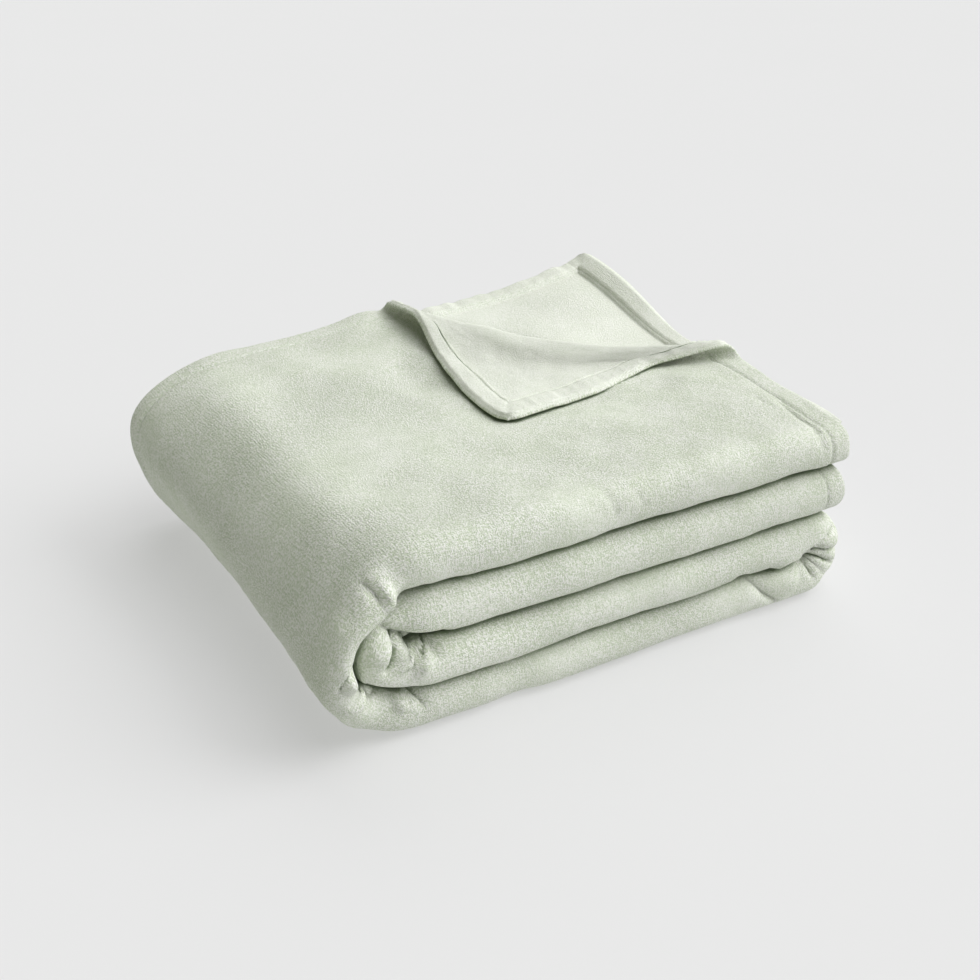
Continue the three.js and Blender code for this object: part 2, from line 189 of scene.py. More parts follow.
def half_turn(parts: int, power: float = 2.0, reach: float = 1.0, height: float = 1.0) -> Array:
    """Half a turn, fuller by its power.

    Args:
        parts: how many points it has after its first.
        power: 2 is round, more is squarer.
        reach: how far it stands out.
        height: half its height.

    Returns:
        A row for each point: bulge, rise, and the direction out of the curve.
    """
    angle = np.radians(np.linspace(90.0, -90.0, parts + 1)[1:])
    cos, sin = np.abs(np.cos(angle)), np.sin(angle)
    cos[-1] = 0.0
    bulge = cos ** (2 / power)
    rise = np.sign(sin) * np.abs(sin) ** (2 / power)
    out = bulge ** (power - 1) / reach
    up = np.sign(rise) * np.abs(rise) ** (power - 1) / height
    long = np.hypot(out, up)
    return np.stack([bulge, rise, out / long, up / long], axis=1)


@dataclass(frozen=True)
class PackSizes:
    """The folded pack, in millimetres: its outer size, its layers and where its turns stand.

    Args:
        long: its size from left to right.
        wide: its size from front to back.
        high: its height without the turned corner.
        cloth: thickness of the cloth.
        bands: how many bands lie on each other at the front.
        band_gap: gap between two bands.
        inner_layer: height of a band's inner layers over its middle.
        top_back: how far the top layer's edge lies before the back.
        under_back: how far the last layer's edge lies behind it.
        back_fold: how far before the back the back folds begin.
        front_fold: how far behind the front the front folds begin.
        front_full: fullness of the front folds; 2 is round.
        front_points: how many points a front fold has after its first.
        inner_fold: how far behind the front the inner folds begin.
        inner_points: points of an inner or a back fold.
        top_end: how far the first band's end lies before the right end.
        wrap_deep: how far from the left end the wrap begins.
        wrap_full: its fullness.
        wrap_points: its points.
        wrap_thins: how much closer its layers lie towards the front.
        right_turn: how far before the right end the right turn begins.
        inner_turn: how far to the right of the wrap's start the inner turn begins.
        inner_moves: how far the inner turn is drawn to the left at the front.
        inner_drawn: how far along the bands that is felt.
        turn_points: points of the right and the inner turn.
        straight_gap: from point to point of a straight stretch.
        second_end: how far the second band's end lies before the right end.
        end_steps: how far a layer's end stands out over the one before it.
        fold_shift: how many such steps each fold across adds.
        centre_x: x of the frame's origin in the pack.
        centre_y: y of the frame's origin in the pack.
    """

    long: float = 386.0
    wide: float = 328.0
    high: float = 130.0
    cloth: float = 2.5
    bands: int = 4
    band_gap: float = 1.6
    inner_layer: float = 4.2
    top_back: float = 3.0
    under_back: float = 2.0
    back_fold: float = 10.0
    front_fold: float = 17.0
    front_full: float = 2.3
    front_points: int = 48
    inner_fold: float = 24.0
    inner_points: int = 16
    top_end: float = 9.0
    wrap_deep: float = 66.0
    wrap_full: float = 2.15
    wrap_points: int = 72
    wrap_thins: float = 0.45
    right_turn: float = 28.0
    inner_turn: float = 3.0
    inner_moves: float = 16.0
    inner_drawn: float = 70.0
    turn_points: int = 40
    straight_gap: float = 12.0
    second_end: float = 8.0
    end_steps: float = 1.8
    fold_shift: float = 2.0
    centre_x: float = -0.09
    centre_y: float = 2.53

    @property
    def front(self) -> float:
        """y of the front folds."""
        return -self.wide / 2

    @property
    def back(self) -> float:
        """y of the back edges."""
        return self.wide / 2

    @property
    def pitch(self) -> float:
        """Height from one band to the next."""
        return (self.high + self.band_gap) / self.bands

    @property
    def outer_layer(self) -> float:
        """Height of a band's outer layers over its middle."""
        return self.pitch / 2 - self.band_gap / 2 - self.cloth / 2

    @property
    def edge_x(self) -> float:
        """x of the first band's free end."""
        return self.long / 2 - self.top_end

    @property
    def edge_y(self) -> float:
        """y of the top layer's back edge."""
        return self.back - self.top_back


def section_across(size: PackSizes) -> FoldLine:
    """The strip's section: the layers of one band, from the top one's hem to the last one's.

    Args:
        size: the pack's sizes.

    Returns:
        The line, with y, the height h over the band's middle, and the end's shift.
    """
    line = FoldLine(("y", "h"))
    outer, inner, shift = size.outer_layer, size.inner_layer, size.fold_shift
    y_front, y_back = size.front + size.front_fold, size.back - size.back_fold
    y_inner = size.front + size.inner_fold
    bend, bend_at = (outer - inner) / 2, (outer + inner) / 2

    def fold(part: Layer, turn: Array, y: float, out: float, h: float, up: float, done: int) -> None:
        """Adds a turn at y and h that reaches out and up, after the folds already done."""
        for k, (bulge, rise, *_) in enumerate(turn):
            moved = shift * (done + (k + 1) / len(turn))
            line.add(part, y=y + out * bulge, h=h + up * rise, shift=moved)

    full, tight = half_turn(size.front_points, size.front_full), half_turn(size.inner_points)
    line.add(Layer.TOP, y=size.edge_y, h=outer, shift=0.0)
    line.add(Layer.TOP, y=y_front, h=outer, shift=0.0)
    fold(Layer.FRONT_FOLD, full, y_front, size.cloth / 2 - size.front_fold, 0.0, outer, 0)
    line.add(Layer.UNDER, y=y_back, h=-outer, shift=shift)
    fold(Layer.BACK_FOLD, tight, y_back, bend, -bend_at, -bend, 1)
    line.add(Layer.INNER, y=y_inner, h=-inner, shift=2 * shift)
    fold(Layer.INNER_FOLD, tight, y_inner, -inner, 0.0, -inner, 2)
    line.add(Layer.LAST, y=size.back + size.under_back, h=inner, shift=3 * shift)
    return line.close()


def line_along(size: PackSizes) -> FoldLine:
    """The strip's middle line along the pack, from the first band to the second.

    Args:
        size: the pack's sizes.

    Returns:
        The line, with x, z, the direction of the top layer, how far it is in the wrap, and
        how far the inner turn draws it.
    """
    line = FoldLine(("x", "z"))
    low, half = size.pitch / 2 - size.band_gap / 2, size.pitch / 2
    level = {band: low + size.pitch * (size.bands - band) for band in (1, 2, 2.5, 3, 3.5, 4)}
    rise = size.pitch * (size.bands - 1) / 2
    middle = low + rise
    wrap_x = -size.long / 2 + size.wrap_deep
    turn_x = size.long / 2 - size.right_turn
    inner_x = wrap_x + size.inner_turn
    reach = size.wrap_deep - size.pitch / 2 + size.band_gap / 2

    def add(
        part: Run, x: float, z: float, nx: float, nz: float, wrap: float = 0.0, inner: float = 0.0
    ) -> None:
        """Adds a point with its columns."""
        line.add(part, x=x, z=z, nx=nx, nz=nz, wrap=wrap, inner=inner)

    def straight(part: Run, start: float, end: float, z: float, nz: float, draws: bool) -> None:
        """Adds a level stretch, which the inner turn may draw."""
        for x in steps(start, end, size.straight_gap)[1:]:
            drawn = smooth(np.array(-x), -inner_x - size.inner_drawn, -inner_x) if draws else 0.0
            add(part, x, z, 0.0, nz, inner=float(drawn))

    round_turn = half_turn(size.turn_points)
    add(Run.BAND_1, size.edge_x, level[1], 0.0, 1.0)
    straight(Run.BAND_1, size.edge_x, wrap_x, level[1], 1.0, False)
    for bulge, up, nx, nz in half_turn(size.wrap_points, size.wrap_full, reach, rise):
        add(Run.WRAP, wrap_x - reach * bulge, middle + rise * up, -nx, nz, wrap=bulge)
    straight(Run.BAND_4, wrap_x, turn_x, level[4], -1.0, False)
    for bulge, up, nx, nz in round_turn:
        add(Run.RIGHT_TURN, turn_x + half * bulge, level[3.5] - half * up, nx, -nz)
    straight(Run.BAND_3, turn_x, inner_x, level[3], 1.0, True)
    for bulge, up, nx, nz in round_turn:
        add(Run.INNER_TURN, inner_x - half * bulge, level[2.5] - half * up, nx, nz, inner=1.0)
    straight(Run.BAND_2, inner_x, size.long / 2 - size.second_end, level[2], -1.0, True)
    return line.close()


@dataclass(frozen=True)
class Swell:
    """A soft trough or swell of the settled pack.

    Args:
        name: what it is.
        at: its middle, as x, y, z.
        reach: how far it reaches each way.
        move: how far the cloth at its middle moves.
    """

    name: str
    at: tuple[float, float, float]
    reach: tuple[float, float, float]
    move: tuple[float, float, float]


SWELLS = (
    Swell("the stack packs down", (0, 0, 65), (900, 900, 60), (0, 0, -4.4)),
    Swell("shoulder sinks to the wrap", (-170, 60, 130), (55, 220, 60), (0, 0, -4)),
    Swell("top falls towards the wrap", (-135, 20, 130), (40, 120, 40), (0, 0, -2.5)),
    Swell("wrap is full at its top back", (-200, 120, 98), (50, 150, 34), (-8, 0, 4)),
    Swell("wrap slopes at its shoulder", (-182, 78, 112), (28, 58, 40), (2, 0, -5)),
    Swell("top is full beside the shoulder", (-150, 60, 124), (24, 60, 30), (0, 0, 2.5)),
    Swell("wrap falls steeply half way along", (-184, -30, 110), (25, 85, 34), (2, 0, -4.5)),
    Swell("top is full half way along", (-156, -30, 124), (22, 85, 30), (0, 0, 2)),
    Swell("wrap is slack below", (-195, 40, 38), (50, 120, 34), (6, 0, 0)),
    Swell("foot of the wrap swells", (-190, -150, 36), (50, 70, 40), (-7, -2, 0)),
    Swell("front left corner narrows", (-150, -160, 100), (60, 40, 34), (0, 3, 1.5)),
    Swell("front left foot tucks in", (-140, -164, 8), (60, 40, 25), (0, 5, 0)),
    Swell("right end droops at the front", (190, -160, 125), (40, 30, 30), (0, 2, -3)),
    Swell("low right corner draws in", (200, -175, 20), (70, 55, 40), (-5, 0, 0)),
    Swell("right ends draw in", (200, -175, 115), (60, 50, 30), (-7, 0, 0)),
    Swell("back edge lifts to the turn", (-9, 168, 128), (27, 40, 22), (0, 0, 8)),
    Swell("turn stands at the right", (190, -45, 140), (28, 30, 22), (3, 0, 2)),
    Swell("last layer's right edge dips", (190, 30, 120), (60, 45, 20), (-1, 0, -1)),
    Swell("lowest band hollow", (60, -164, 20), (70, 30, 20), (0, 3, 0)),
    Swell("corner's edge hangs lower", (-158, -160, 99), (20, 30, 15), (3, -2, -6)),
    Swell("inner turn sits up", (-168, -160, 48), (24, 40, 13), (0, 0, 3)),
    Swell("lowest band swells to the inner turn", (-162, -156, 32), (27, 34, 11), (0, -1, 9)),
)


@dataclass(frozen=True)
class Pucker:
    """A place where the front fold is drawn in.

    Args:
        name: what it is.
        run: the run of the strip that it lies on.
        along: how far along that run, from 0 to 1.
        wide: its half width along the strip.
        deep: how far it is drawn in.
    """

    name: str
    run: Run
    along: float
    wide: float
    deep: float


PUCKERS = (
    Pucker("upper corner of the wrap", Run.WRAP, 0.14, 9, 5),
    Pucker("lower corner of the wrap", Run.WRAP, 0.79, 9, 5),
    Pucker("lowest band beside the wrap", Run.BAND_4, 0.2, 14, 3),
    Pucker("right turn, lower", Run.RIGHT_TURN, 0.25, 6, 4),
    Pucker("right turn, middle", Run.RIGHT_TURN, 0.5, 6, 5),
    Pucker("right turn, upper", Run.RIGHT_TURN, 0.75, 6, 4),
    Pucker("third band into the inner turn", Run.INNER_TURN, 0.125, 8, 1),
    Pucker("inner turn into the second band", Run.INNER_TURN, 0.875, 8, 5),
)


@dataclass(frozen=True)
class TurnedCorner:
    """The top layer's corner, turned back over the pack; places are plan x and y.

    Sizes are in millimetres. Names that end in _at are shares of a length.

    Args:
        size: the pack's sizes.
        start_x: x where the turn meets the back edge.
        end_y: y where it meets the free end.
        tip: where the turned tip lies.
        rest: how far the flap rests over the top layer.
        bow: how far the turn bows inwards at each of the shares bow_at of it.
        roll_radius: radius of its roll at each of roll_at.
        right_in: how far the flap's right side bows in at each of right_at.
        left_in: how far its left side does at each of left_at.
        laid_by: the share of the flap at which it lies flat, on its left and right side.
        stands: how high the flap's left side stands beside the turn.
        stands_at: the share of the flap where it does.
        stands_wide: how broadly, along the flap and across it.
        bow_fades: the share of the flap by which it no longer follows the turn's bow.
        joins: half the distance over which the roll goes over into the flap.
        past: how far past their ends the flap's shares still count.
        short: the last share before the tip, where the flap has no width.
    """

    size: PackSizes
    start_x: float = 4.0
    end_y: float = -48.0
    tip: Pair = (-12.5, -53.0)
    rest: float = 0.8
    bow_at: tuple[float, ...] = (0.0, 0.2, 0.4, 0.56, 0.68, 0.8, 0.9, 1.0)
    bow: tuple[float, ...] = (0.0, 16.5, 26.0, 30.5, 26.0, 14.0, 5.0, 0.0)
    roll_at: tuple[float, ...] = (-0.1, 0.0, 0.12, 0.3, 0.5, 0.7, 0.85, 1.1)
    roll_radius: tuple[float, ...] = (4.2, 4.8, 6.2, 6.2, 5.4, 4.6, 4.5, 4.8)
    right_at: tuple[float, ...] = (0.0, 0.1, 0.2, 0.3, 0.41, 0.51, 0.625, 0.75, 0.87, 1.0)
    right_in: tuple[float, ...] = (0.0, 9.0, 17.0, 23.5, 21.5, 17.5, 11.5, 7.5, 4.0, 0.0)
    left_at: tuple[float, ...] = (0.0, 0.12, 0.25, 0.4, 0.6, 0.8, 0.93, 1.0)
    left_in: tuple[float, ...] = (0.0, 5.0, 7.5, 5.0, -1.0, -4.5, -3.5, 0.0)
    laid_by: Pair = (0.5, 0.36)
    stands: float = 7.0
    stands_at: float = 0.2
    stands_wide: Pair = (0.14, 0.12)
    bow_fades: float = 0.7
    joins: float = 1.0
    past: float = 0.1
    short: float = 0.999

    @property
    def start(self) -> Array:
        """Where the turn meets the back edge."""
        return np.array([self.start_x, self.size.edge_y])

    @property
    def end(self) -> Array:
        """Where the turn meets the free end."""
        return np.array([self.size.edge_x, self.end_y])

    @property
    def line(self) -> tuple[Array, Array, float]:
        """The turn's direction, the direction out of it to the corner, and its length."""
        run = self.end - self.start
        long = float(np.hypot(*run))
        way = run / long
        return way, np.array([-way[1], way[0]]), long

    def radius(self, e: Array) -> Array:
        """Radius of the roll at a share e of the turn."""
        return curve(e, self.roll_at, self.roll_radius)

    def bowed(self, e: Array) -> Array:
        """How far the turn bows inwards from its straight line."""
        return curve(e, self.bow_at, self.bow)

    def beyond(self, plan: Array) -> Array:
        """How far plan places lie beyond the bowed turn."""
        way, out, long = self.line
        rel = plan - self.start
        return rel @ out + self.bowed(rel @ way / long)

    def flap(self, c: Array, t: Array, r: Array) -> tuple[Array, Array]:
        """The flap where it lies on the top layer.

        Args:
            c: shares of its length, from the turn to the tip.
            t: shares of its width, from its left to its right side.
            r: radius of the roll that it comes from.

        Returns:
            Its plan places and how far it lies over the top layer.
        """
        root = np.outer(1 - t, self.start) + np.outer(t, self.end)
        plan = mix(root, np.array(self.tip), c[:, None])
        plan -= np.outer(self.bowed(t) * (1 - smooth(c, 0.0, self.bow_fades)), self.line[1])
        plan[:, 1] += t * curve(c, self.right_at, self.right_in)
        plan[:, 0] += (1 - t) * curve(c, self.left_at, self.left_in)
        lift = mix(2 * r, self.size.cloth + self.rest, smooth(c, 0, mix(*self.laid_by, t)))
        along, across = self.stands_wide
        lift += self.stands * bell(c - self.stands_at, along) * bell(t, across)
        return plan, lift

    def turned(self, u: Array, v: Array, base: Array) -> Array:
        """Rolls the corner over its turn and lays the flap on the top layer.

        Args:
            u: places across the sheet.
            v: places along it.
            base: where these places lie before the corner is turned.

        Returns:
            Where they lie after it.
        """
        way, out, long = self.line
        edge = np.array([self.size.edge_x, self.size.edge_y])
        rel = np.stack([edge[0] - v, edge[1] - u], axis=-1) - self.start
        e, s = rel @ way / long, rel @ out
        bow, r = self.bowed(e), self.radius(e)
        beyond = s + bow
        axis = self.start + np.outer(e * long, way) - np.outer(bow, out)
        angle = np.clip(beyond / r, 0, math.pi)
        over = np.maximum(beyond - math.pi * r, 0.0)
        rolled = axis + np.outer(r * np.sin(angle) - over, out)
        roll = np.column_stack([rolled, base[:, 2] + r * (1 - np.cos(angle))])
        corner = edge - self.start
        corner_e, corner_s = float(corner @ way) / long, float(corner @ out)
        first = math.pi * r - bow
        c = np.clip((s - first) / (corner_s - first), -self.past, self.short)
        t = np.clip((e - corner_e * c) / (1 - c), -self.past, 1 + self.past)
        plan, lift = self.flap(c, t, r)
        laid = np.column_stack([plan, base[:, 2] + lift])
        share = smooth(s - first, -self.joins, self.joins)[:, None]
        return np.where((beyond <= 0)[:, None], base, mix(roll, laid, share))


class Plane(Enum):
    """Which cloth a stroke is drawn on, and so which way it moves it."""

    FRONT = "front folds"
    TOP = "top layer"


@dataclass(frozen=True)
class Stroke:
    """A ridge or trough drawn on what shows from one side, in pack millimetres.

    Args:
        name: what it is.
        points: the line that it follows, as x and z on the front folds, and as x and y on
            the top layer.
        wide: its half width.
        high: how far the cloth stands out there; a trough is below zero.
        taper: how far from its ends it starts to fade.
        blunt: how far beyond its ends it would fade to nothing.
        plane: the cloth that it is drawn on.
    """

    name: str
    points: tuple[tuple[float, float], ...]
    wide: float
    high: float
    taper: float = 5.0
    blunt: float = 1.0
    plane: Plane = Plane.FRONT

    def height(self, x: Array, across: Array) -> Array:
        """Its height at places in its plane; it fades towards both its ends.

        Args:
            x: their x.
            across: their z on the front folds, or y on the top layer.

        Returns:
            The height at each place.
        """
        far, along, before = np.full_like(x, np.inf), np.zeros_like(x), 0.0
        for (x0, y0), (x1, y1) in zip(self.points, self.points[1:]):
            run = np.array([x1 - x0, y1 - y0])
            long = float(np.hypot(*run))
            share = np.clip(((x - x0) * run[0] + (across - y0) * run[1]) / long ** 2, 0, 1)
            here = np.hypot(x - x0 - share * run[0], across - y0 - share * run[1])
            along = np.where(here < far, before + share * long, along)
            far = np.minimum(far, here)
            before += long
        fade = smooth(along, -self.blunt, self.taper) * smooth(before - along, -self.blunt, self.taper)
        return self.high * bell(far, self.wide) * fade


STROKES = (
    Stroke("corner pucker", ((-160, 110), (-157, 103), (-156, 95)), 3.8, 6),
    Stroke("corner pucker's flat side", ((-150, 110), (-146, 104)), 5, 2.5),
    Stroke("notch by the corner pucker", ((-169, 112), (-163, 106), (-160, 100)), 2.6, -6),
    Stroke("wrap's pulled edge", ((-158, 97), (-168, 92), (-180, 85), (-186, 76), (-189, 62)), 5, 3),
    Stroke("dip beside the wrap's pulled edge", ((-176, 100), (-188, 90)), 5, -2),
    Stroke(
        "second band ends",
        ((-162, 82), (-154, 76), (-144, 70), (-134, 67), (-114, 64.5)), 3.6, -7, 8,
    ),
    Stroke("dart in the inner turn", ((-152, 76), (-153, 68), (-156, 60), (-162, 53)), 2.3, -9),
    Stroke("inner turn is full", ((-165, 76), (-167, 62)), 7, 3),
    Stroke("second band's underside", ((-150, 68), (-128, 64.5)), 3.2, -4),
    Stroke("lobe by the dart", ((-144, 64), (-146, 52)), 5.5, 4.5),
    Stroke("third band's pucker", ((-132, 66), (-134, 57), (-142, 44)), 3, 7.5, 12),
    Stroke("trough by the third band's pucker", ((-125, 64), (-128, 50)), 3, -7),
    Stroke("lower pucker of the wrap", ((-188, 62), (-180, 54), (-170, 47)), 3.6, 7.5),
    Stroke("notch by the lower pucker", ((-174, 48), (-170, 36)), 2.6, -8),
    Stroke("lowest band's pucker", ((-151, 38), (-148, 22)), 3.2, 6),
    Stroke("trough by the lowest band's pucker", ((-143, 38), (-142, 24)), 2.6, -5),
    Stroke("first crease of the right turn", ((158, 38), (172, 42), (187, 46)), 2.2, -6),
    Stroke("second crease of the right turn", ((154, 39), (172, 34), (192, 29)), 1.6, -5),
    Stroke("third crease of the right turn", ((152, 38), (168, 29), (186, 19)), 1.8, -5.5),
    Stroke("fourth crease of the right turn", ((154, 33), (160, 24), (165, 14)), 2.4, -4.5),
    Stroke("low right lobe", ((128, 33), (150, 20)), 11, 5),
    Stroke("edge of the low right lobe", ((98, 38), (110, 28), (122, 16), (136, 6)), 2.6, -5),
    Stroke("fine crease of the first band", ((-13, 131), (-6, 120), (-2, 107)), 1.5, -1.6),
    Stroke("finer crease of the first band", ((9, 126), (15, 116), (17, 110)), 1.4, -1.4),
    Stroke(
        "crease in the right hem",
        ((166, -105), (163, -133), (161, -152), (160, -172)), 2.4, -2.6, 10, plane=Plane.TOP,
    ),
    Stroke("right hem's crease goes down", ((159, 126), (160, 110)), 2.4, -2.0, 6),
    Stroke("fold beside the right hem", ((157, -97), (152, -113)), 2.4, -1.6, plane=Plane.TOP),
    Stroke("swell before the turned corner", ((114, -46), (158, -64)), 13, 3, 20, plane=Plane.TOP),
    Stroke("hollow by the flap's left side", ((-16, 100), (-34, 10)), 16, -2.5, 30, plane=Plane.TOP),
)


@dataclass(frozen=True)
class Crease:
    """A soft ridge or trough drawn along the cloth, in sheet millimetres.

    Args:
        name: what it is.
        start: its first end, as u across and v along the sheet.
        end: its other end.
        wide: its half width.
        high: how far it stands out of the pack's surface; a trough is below zero.
        fade: how far it takes to fade past its ends.
    """

    name: str
    start: tuple[float, float]
    end: tuple[float, float]
    wide: float
    high: float
    fade: float = 8.0

    def height(self, u: Array, v: Array) -> Array:
        """Its height at sheet places.

        Args:
            u: places across the sheet.
            v: places along it.

        Returns:
            The height at each place.
        """
        run = np.array(self.end, float) - self.start
        long = float(np.hypot(*run))
        way = run / long
        du, dv = u - self.start[0], v - self.start[1]
        along = du * way[0] + dv * way[1]
        aside = dv * way[0] - du * way[1]
        past = np.maximum(np.maximum(-along, along - long), 0.0)
        return self.high * bell(aside, self.wide) * bell(past, self.fade)


CREASES = (
    Crease("trough by the third band's pucker", (306, 1088), (324, 1108), 2.3, -4.0, 4),
    Crease("third band's pucker stands up", (309, 1096), (327, 1115), 2.8, 2.4, 4),
    Crease("trough on the lowest band", (355, 456), (342, 462), 2.1, -4.0, 3),
    Crease("lowest band's pucker stands up", (354, 450), (342, 455.5), 2.4, 2.0, 3),
    Crease("notch in the wrap's low edge", (342, 386), (331, 395), 2.2, -4.0, 3),
    Crease("strip in the wrap's low edge", (350, 423), (330, 413), 2.8, 3.2, 4),
    Crease("trough by the strip", (349, 431), (336, 425), 2.4, -2.2, 3),
)


@dataclass(frozen=True)
class Unevenness:
    """Slow waves all over the cloth, so that no layer is quite flat.

    Args:
        seed: seed of the waves.
        sizes: rows of wave length and height, in millimetres.
        each: how many waves of each length there are.
        vary: the shortest and longest share of its length that a wave may have.
    """

    seed: int = 7
    sizes: tuple[Pair, ...] = ((130.0, 0.55), (70.0, 0.4), (38.0, 0.28), (19.0, 0.14), (10.0, 0.06))
    each: int = 7
    vary: Pair = (0.75, 1.3)

    def height(self, u: Array, v: Array) -> Array:
        """Height of the waves at sheet places.

        Args:
            u: places across the sheet.
            v: places along it.

        Returns:
            The height at each place, in millimetres.
        """
        chance = np.random.default_rng(self.seed)
        total = np.zeros_like(u)
        for length, high in self.sizes:
            for _ in range(self.each):
                angle, phase = chance.uniform(0, 2 * math.pi, 2)
                rate = 2 * math.pi / (length * chance.uniform(*self.vary))
                way = u * math.cos(angle) + v * math.sin(angle)
                total += high / math.sqrt(self.each) * np.sin(rate * way + phase)
        return total


@dataclass(frozen=True)
class Hem:
    """The double-turned hem, in millimetres; it is measured from the sheet's edge.

    Args:
        wide: its width.
        extra: how much higher the wrong side stands there.
        step: how far before and past its width that falls to nothing.
        gather: how high it gathers.
        gather_at: the middle of the gathers and how broad they are.
        gather_wave: length of a gather, its drift and the length of that.
        gather_swell: length over which the gathers come and go.
        seam: where its stitches draw the cloth in.
        seam_wrong: depth and half width of the stitches' groove on the wrong side.
        seam_face: the same on the face.
        mitre: depth and half width of the joint at each corner.
        rim: distances from the edge between which the hem rises to its height.
        edge_thin: share of the cloth's thickness at its very edge.
        edge_wide: how far from the edge the cloth has its whole thickness.
    """

    wide: float = 18.0
    extra: float = 2.6
    step: Pair = (1.6, 0.2)
    gather: float = 0.6
    gather_at: Pair = (8.0, 7.0)
    gather_wave: tuple[float, float, float] = (1.9, 2.0, 23.0)
    gather_swell: float = 7.3
    seam: float = 15.2
    seam_wrong: Pair = (2.1, 0.95)
    seam_face: Pair = (1.05, 1.25)
    mitre: Pair = (1.0, 1.0)
    rim: Pair = (-2.5, 2.0)
    edge_thin: float = 0.62
    edge_wide: float = 2.2

    def extra_height(self, du: Array, dv: Array, run: Array) -> Array:
        """How much higher the hem makes the wrong side, with its gathers and mitre.

        Args:
            du: distances from the nearer long edge.
            dv: distances from the nearer short edge.
            run: places along the hem.

        Returns:
            The extra height at each place.
        """
        d = np.minimum(du, dv)
        before, after = self.step
        high = self.extra * (1 - smooth(d, self.wide - before, self.wide + after))
        gather = wavy(run, *self.gather_wave) * late_wave(run, self.gather_swell)
        middle, broad = self.gather_at
        high += self.gather * gather * bell(d - middle, broad)
        high -= self.groove(d, self.seam_wrong)
        both = (du < self.wide) & (dv < self.wide)
        deep, wide = self.mitre
        high -= np.where(both, deep * bell(du - dv, wide), 0.0)
        return high * smooth(d, *self.rim)

    def groove(self, d: Array, shape: Pair) -> Array:
        """Depth of the stitches' groove of a depth and half width, at distances from the edge."""
        return shape[0] * bell(d - self.seam, shape[1])

    def thinned(self, d: Array) -> Array:
        """Share of its thickness that the cloth has at distances from its edge."""
        return mix(self.edge_thin, 1.0, smooth(d, 0.0, self.edge_wide))


@dataclass(frozen=True)
class LooseEnds:
    """How the layers' right ends stand out and droop near the front, in millimetres.

    Args:
        step_fades: how far from the ends the layers still stand out by their steps.
        near: how far from the ends they stand out towards the front.
        top_out: how far the top layer does at the front.
        top_front: the stretch towards the front over which it begins.
        under_out: how far the layers under it do.
        under_front: the stretch over which they begin.
        droop: how far the top layer hangs down.
        droop_near: the stretch from its end over which that fades.
        droop_front: the stretch towards the front over which it begins.
        droop_high: the heights over a band's middle between which it begins.
    """

    step_fades: float = 140.0
    near: float = 60.0
    top_out: float = 2.5
    top_front: Pair = (90.0, 165.0)
    under_out: float = 5.0
    under_front: Pair = (80.0, 130.0)
    droop: float = 2.0
    droop_near: Pair = (4.0, 50.0)
    droop_front: Pair = (40.0, 110.0)
    droop_high: Pair = (5.0, 14.0)

    def out(self, v: Array, front: Array, top: Array) -> Array:
        """How far the layers stand out towards the front.

        Args:
            v: places along the sheet.
            front: how far to the front of the pack's middle they lie.
            top: how much they belong to the top layer.

        Returns:
            The distance at each place.
        """
        near = 1 - smooth(v, 0, self.near)
        over = self.top_out * smooth(front, *self.top_front) * top * near
        return over + self.under_out * smooth(front, *self.under_front) * (1 - top) * near

    def down(self, v: Array, front: Array, top: Array, h: Array) -> Array:
        """How far the top layer hangs down; h is the height over its band's middle."""
        fades = 1 - smooth(v, *self.droop_near)
        high = smooth(h, *self.droop_high)
        return self.droop * top * fades * smooth(front, *self.droop_front) * high


@dataclass(frozen=True)
class BaredCorner:
    """The last layer's corner, bared by the turned one: it curls up with its right hem.

    Sizes are in millimetres. A pair of widths reaches from the long and the short edge.

    Args:
        within: how near both edges cloth has to be to move.
        raised: how far it is raised beyond the turn.
        raised_from: the distances beyond the turn between which that begins.
        held_long: the stretch from the long edge over which it is let go.
        held_short: the same from the short edge.
        up: how far the corner curls up.
        up_wide: how far that reaches.
        hem_up: how far the right hem turns up.
        hem_wide: how far from the short edge it does.
        hem_fades: the stretch from the long edge over which that fades.
        ripple: how high the back hem ripples.
        ripple_wide: how far from the long edge it does.
        ripple_wave: length of a ripple, its drift and the length of that.
        ripple_beat: length of a second, plainer ripple.
        out: how far the corner moves out at the right.
        out_wide: how far that reaches.
        back: how far the corner moves back.
        back_wide: how far that reaches.
    """

    within: Pair = (300.0, 240.0)
    raised: float = 6.0
    raised_from: Pair = (8.0, 45.0)
    held_long: Pair = (40.0, 150.0)
    held_short: Pair = (30.0, 120.0)
    up: float = 12.0
    up_wide: Pair = (75.0, 60.0)
    hem_up: float = 7.0
    hem_wide: float = 16.5
    hem_fades: Pair = (60.0, 150.0)
    ripple: float = 0.45
    ripple_wide: float = 12.0
    ripple_wave: tuple[float, float, float] = (2.7, 2.2, 17.0)
    ripple_beat: float = 4.9
    out: float = 5.0
    out_wide: Pair = (90.0, 60.0)
    back: float = 4.0
    back_wide: Pair = (40.0, 60.0)

    def move(self, du: Array, v: Array, beyond: Array) -> Array:
        """How far places of the last layer move.

        Args:
            du: distances from the long edge.
            v: distances from the short edge.
            beyond: how far beyond the turn they lie.

        Returns:
            A row of x, y and z for each place.
        """

        def mound(wide: Pair) -> Array:
            """A mound over the corner that reaches some way from both edges."""
            return bell(du, wide[0]) * bell(v, wide[1])

        held = smooth(du, *self.held_long) * (1 - smooth(v, *self.held_short))
        lift = self.raised * smooth(beyond, *self.raised_from) * (1 - held)
        lift += self.up * mound(self.up_wide)
        turn_up = np.maximum(1 - v / self.hem_wide, 0)
        lift += self.hem_up * turn_up * (1 - smooth(du, *self.hem_fades))
        ripple = wavy(v, *self.ripple_wave) + late_wave(v, self.ripple_beat)
        lift += self.ripple * bell(du, self.ripple_wide) * ripple
        sideways = self.out * mound(self.out_wide), self.back * mound(self.back_wide)
        here = (du < self.within[0]) & (v < self.within[1])
        return np.where(here[:, None], np.column_stack([*sideways, lift]), 0.0)


